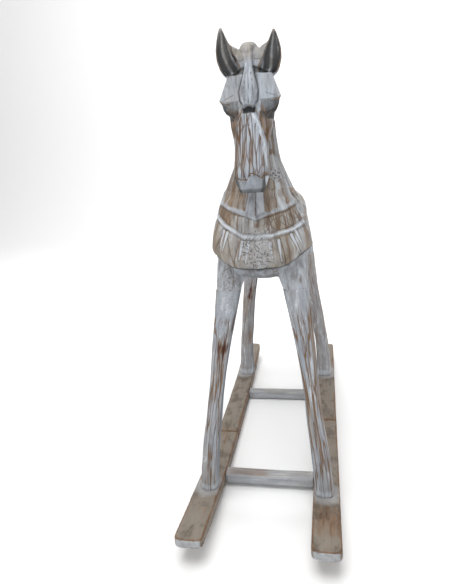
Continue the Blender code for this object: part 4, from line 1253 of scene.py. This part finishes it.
def buildStage(look):
    bm = bmesh.new()
    half = look["width"] / 2
    start = [bmesh.ops.create_vert(bm, co=(across, look["front"], 0))["vert"][0] for across in (-half, half)]
    edge = bmesh.ops.contextual_create(bm, geom=start)["edges"]

    def carryOn(edge, vec):
        made = bmesh.ops.extrude_edge_only(bm, edges=edge)["geom"]
        bmesh.ops.translate(bm, verts=[g for g in made if isinstance(g, bmesh.types.BMVert)], vec=vec)
        return [g for g in made if isinstance(g, bmesh.types.BMEdge)]

    edge = carryOn(edge, (0, look["back"] - look["front"], 0))
    turned = bmesh.ops.spin(
        bm, geom=edge, cent=(0, look["back"], look["bend"]), axis=(1, 0, 0), angle=math.pi / 2,
        steps=look["bendSteps"],
    )["geom_last"]
    carryOn([g for g in turned if isinstance(g, bmesh.types.BMEdge)], (0, 0, look["height"]))
    bmesh.ops.recalc_face_normals(bm, faces=bm.faces)
    for face in bm.faces:
        face.smooth = True
    mesh = bpy.data.meshes.new("floor")
    bm.to_mesh(mesh)
    bm.free()
    floor = bpy.data.objects.new("floor", mesh)
    scene.collection.objects.link(floor)
    pale = Finish("paleFloor")
    pale.shader.inputs["Base Color"].default_value = look["floorColour"]
    pale.shader.inputs["Roughness"].default_value = look["floorRoughness"]
    mesh.materials.append(pale.material)
    world = bpy.data.worlds.new("studio")
    scene.world = world
    world.use_nodes = True
    world.node_tree.nodes["Background"].inputs["Color"].default_value = (1, 1, 1, 1)
    world.node_tree.nodes["Background"].inputs["Strength"].default_value = look["worldStrength"]
    scene.view_settings.view_transform = "Standard"


lights = (  # name, place, aimed at, size, power
    ("skyPanel", (-0.2, -0.9, 2.6), (0, 0, 0.4), 1.8, 42),
    ("leftPanel", (-2.0, -1.6, 1.2), (0, 0, 0.45), 1.4, 7),
    ("backPanel", (0, 1.0, 3.6), (0, 4.6, 1.4), 3.0, 130),
    ("rightPanel", (2.0, -0.8, 1.5), (0, 0, 0.45), 1.2, 5),
)


def buildLights():
    for name, place, target, size, power in lights:
        light = bpy.data.lights.new(name, "AREA")
        light.shape = "DISK"
        light.size = size
        light.energy = power
        lamp = bpy.data.objects.new(name, light)
        scene.collection.objects.link(lamp)
        lamp.location = place
        lamp.rotation_euler = (Vector(target) - Vector(place)).to_track_quat("-Z", "Y").to_euler()


cameraLook = {
    "place": (0.10285, -0.99536, 0.59621), "yaw": 0.20563, "pitch": 0.25473, "roll": -0.07052,
    "focalLength": 28.97, "filmHeight": 36, "nearest": 0.05,
}


def buildCamera(look):
    data = bpy.data.cameras.new("camera")
    data.sensor_fit = "VERTICAL"
    data.sensor_height = look["filmHeight"]
    data.lens = look["focalLength"]
    data.clip_start = look["nearest"]
    camera = bpy.data.objects.new("camera", data)
    scene.collection.objects.link(camera)
    yaw, pitch, roll = look["yaw"], look["pitch"], look["roll"]
    forward = Vector((-math.sin(yaw) * math.cos(pitch), math.cos(yaw) * math.cos(pitch), -math.sin(pitch)))
    right = Vector((math.cos(yaw), math.sin(yaw), 0))
    up = right.cross(forward)
    across = right * math.cos(roll) + up * math.sin(roll)
    upright = up * math.cos(roll) - right * math.sin(roll)
    turn = Matrix((across, upright, -forward)).transposed().to_4x4()
    camera.matrix_world = Matrix.Translation(look["place"]) @ turn
    scene.camera = camera


buildStage(stageLook)
buildLights()
buildCamera(cameraLook)
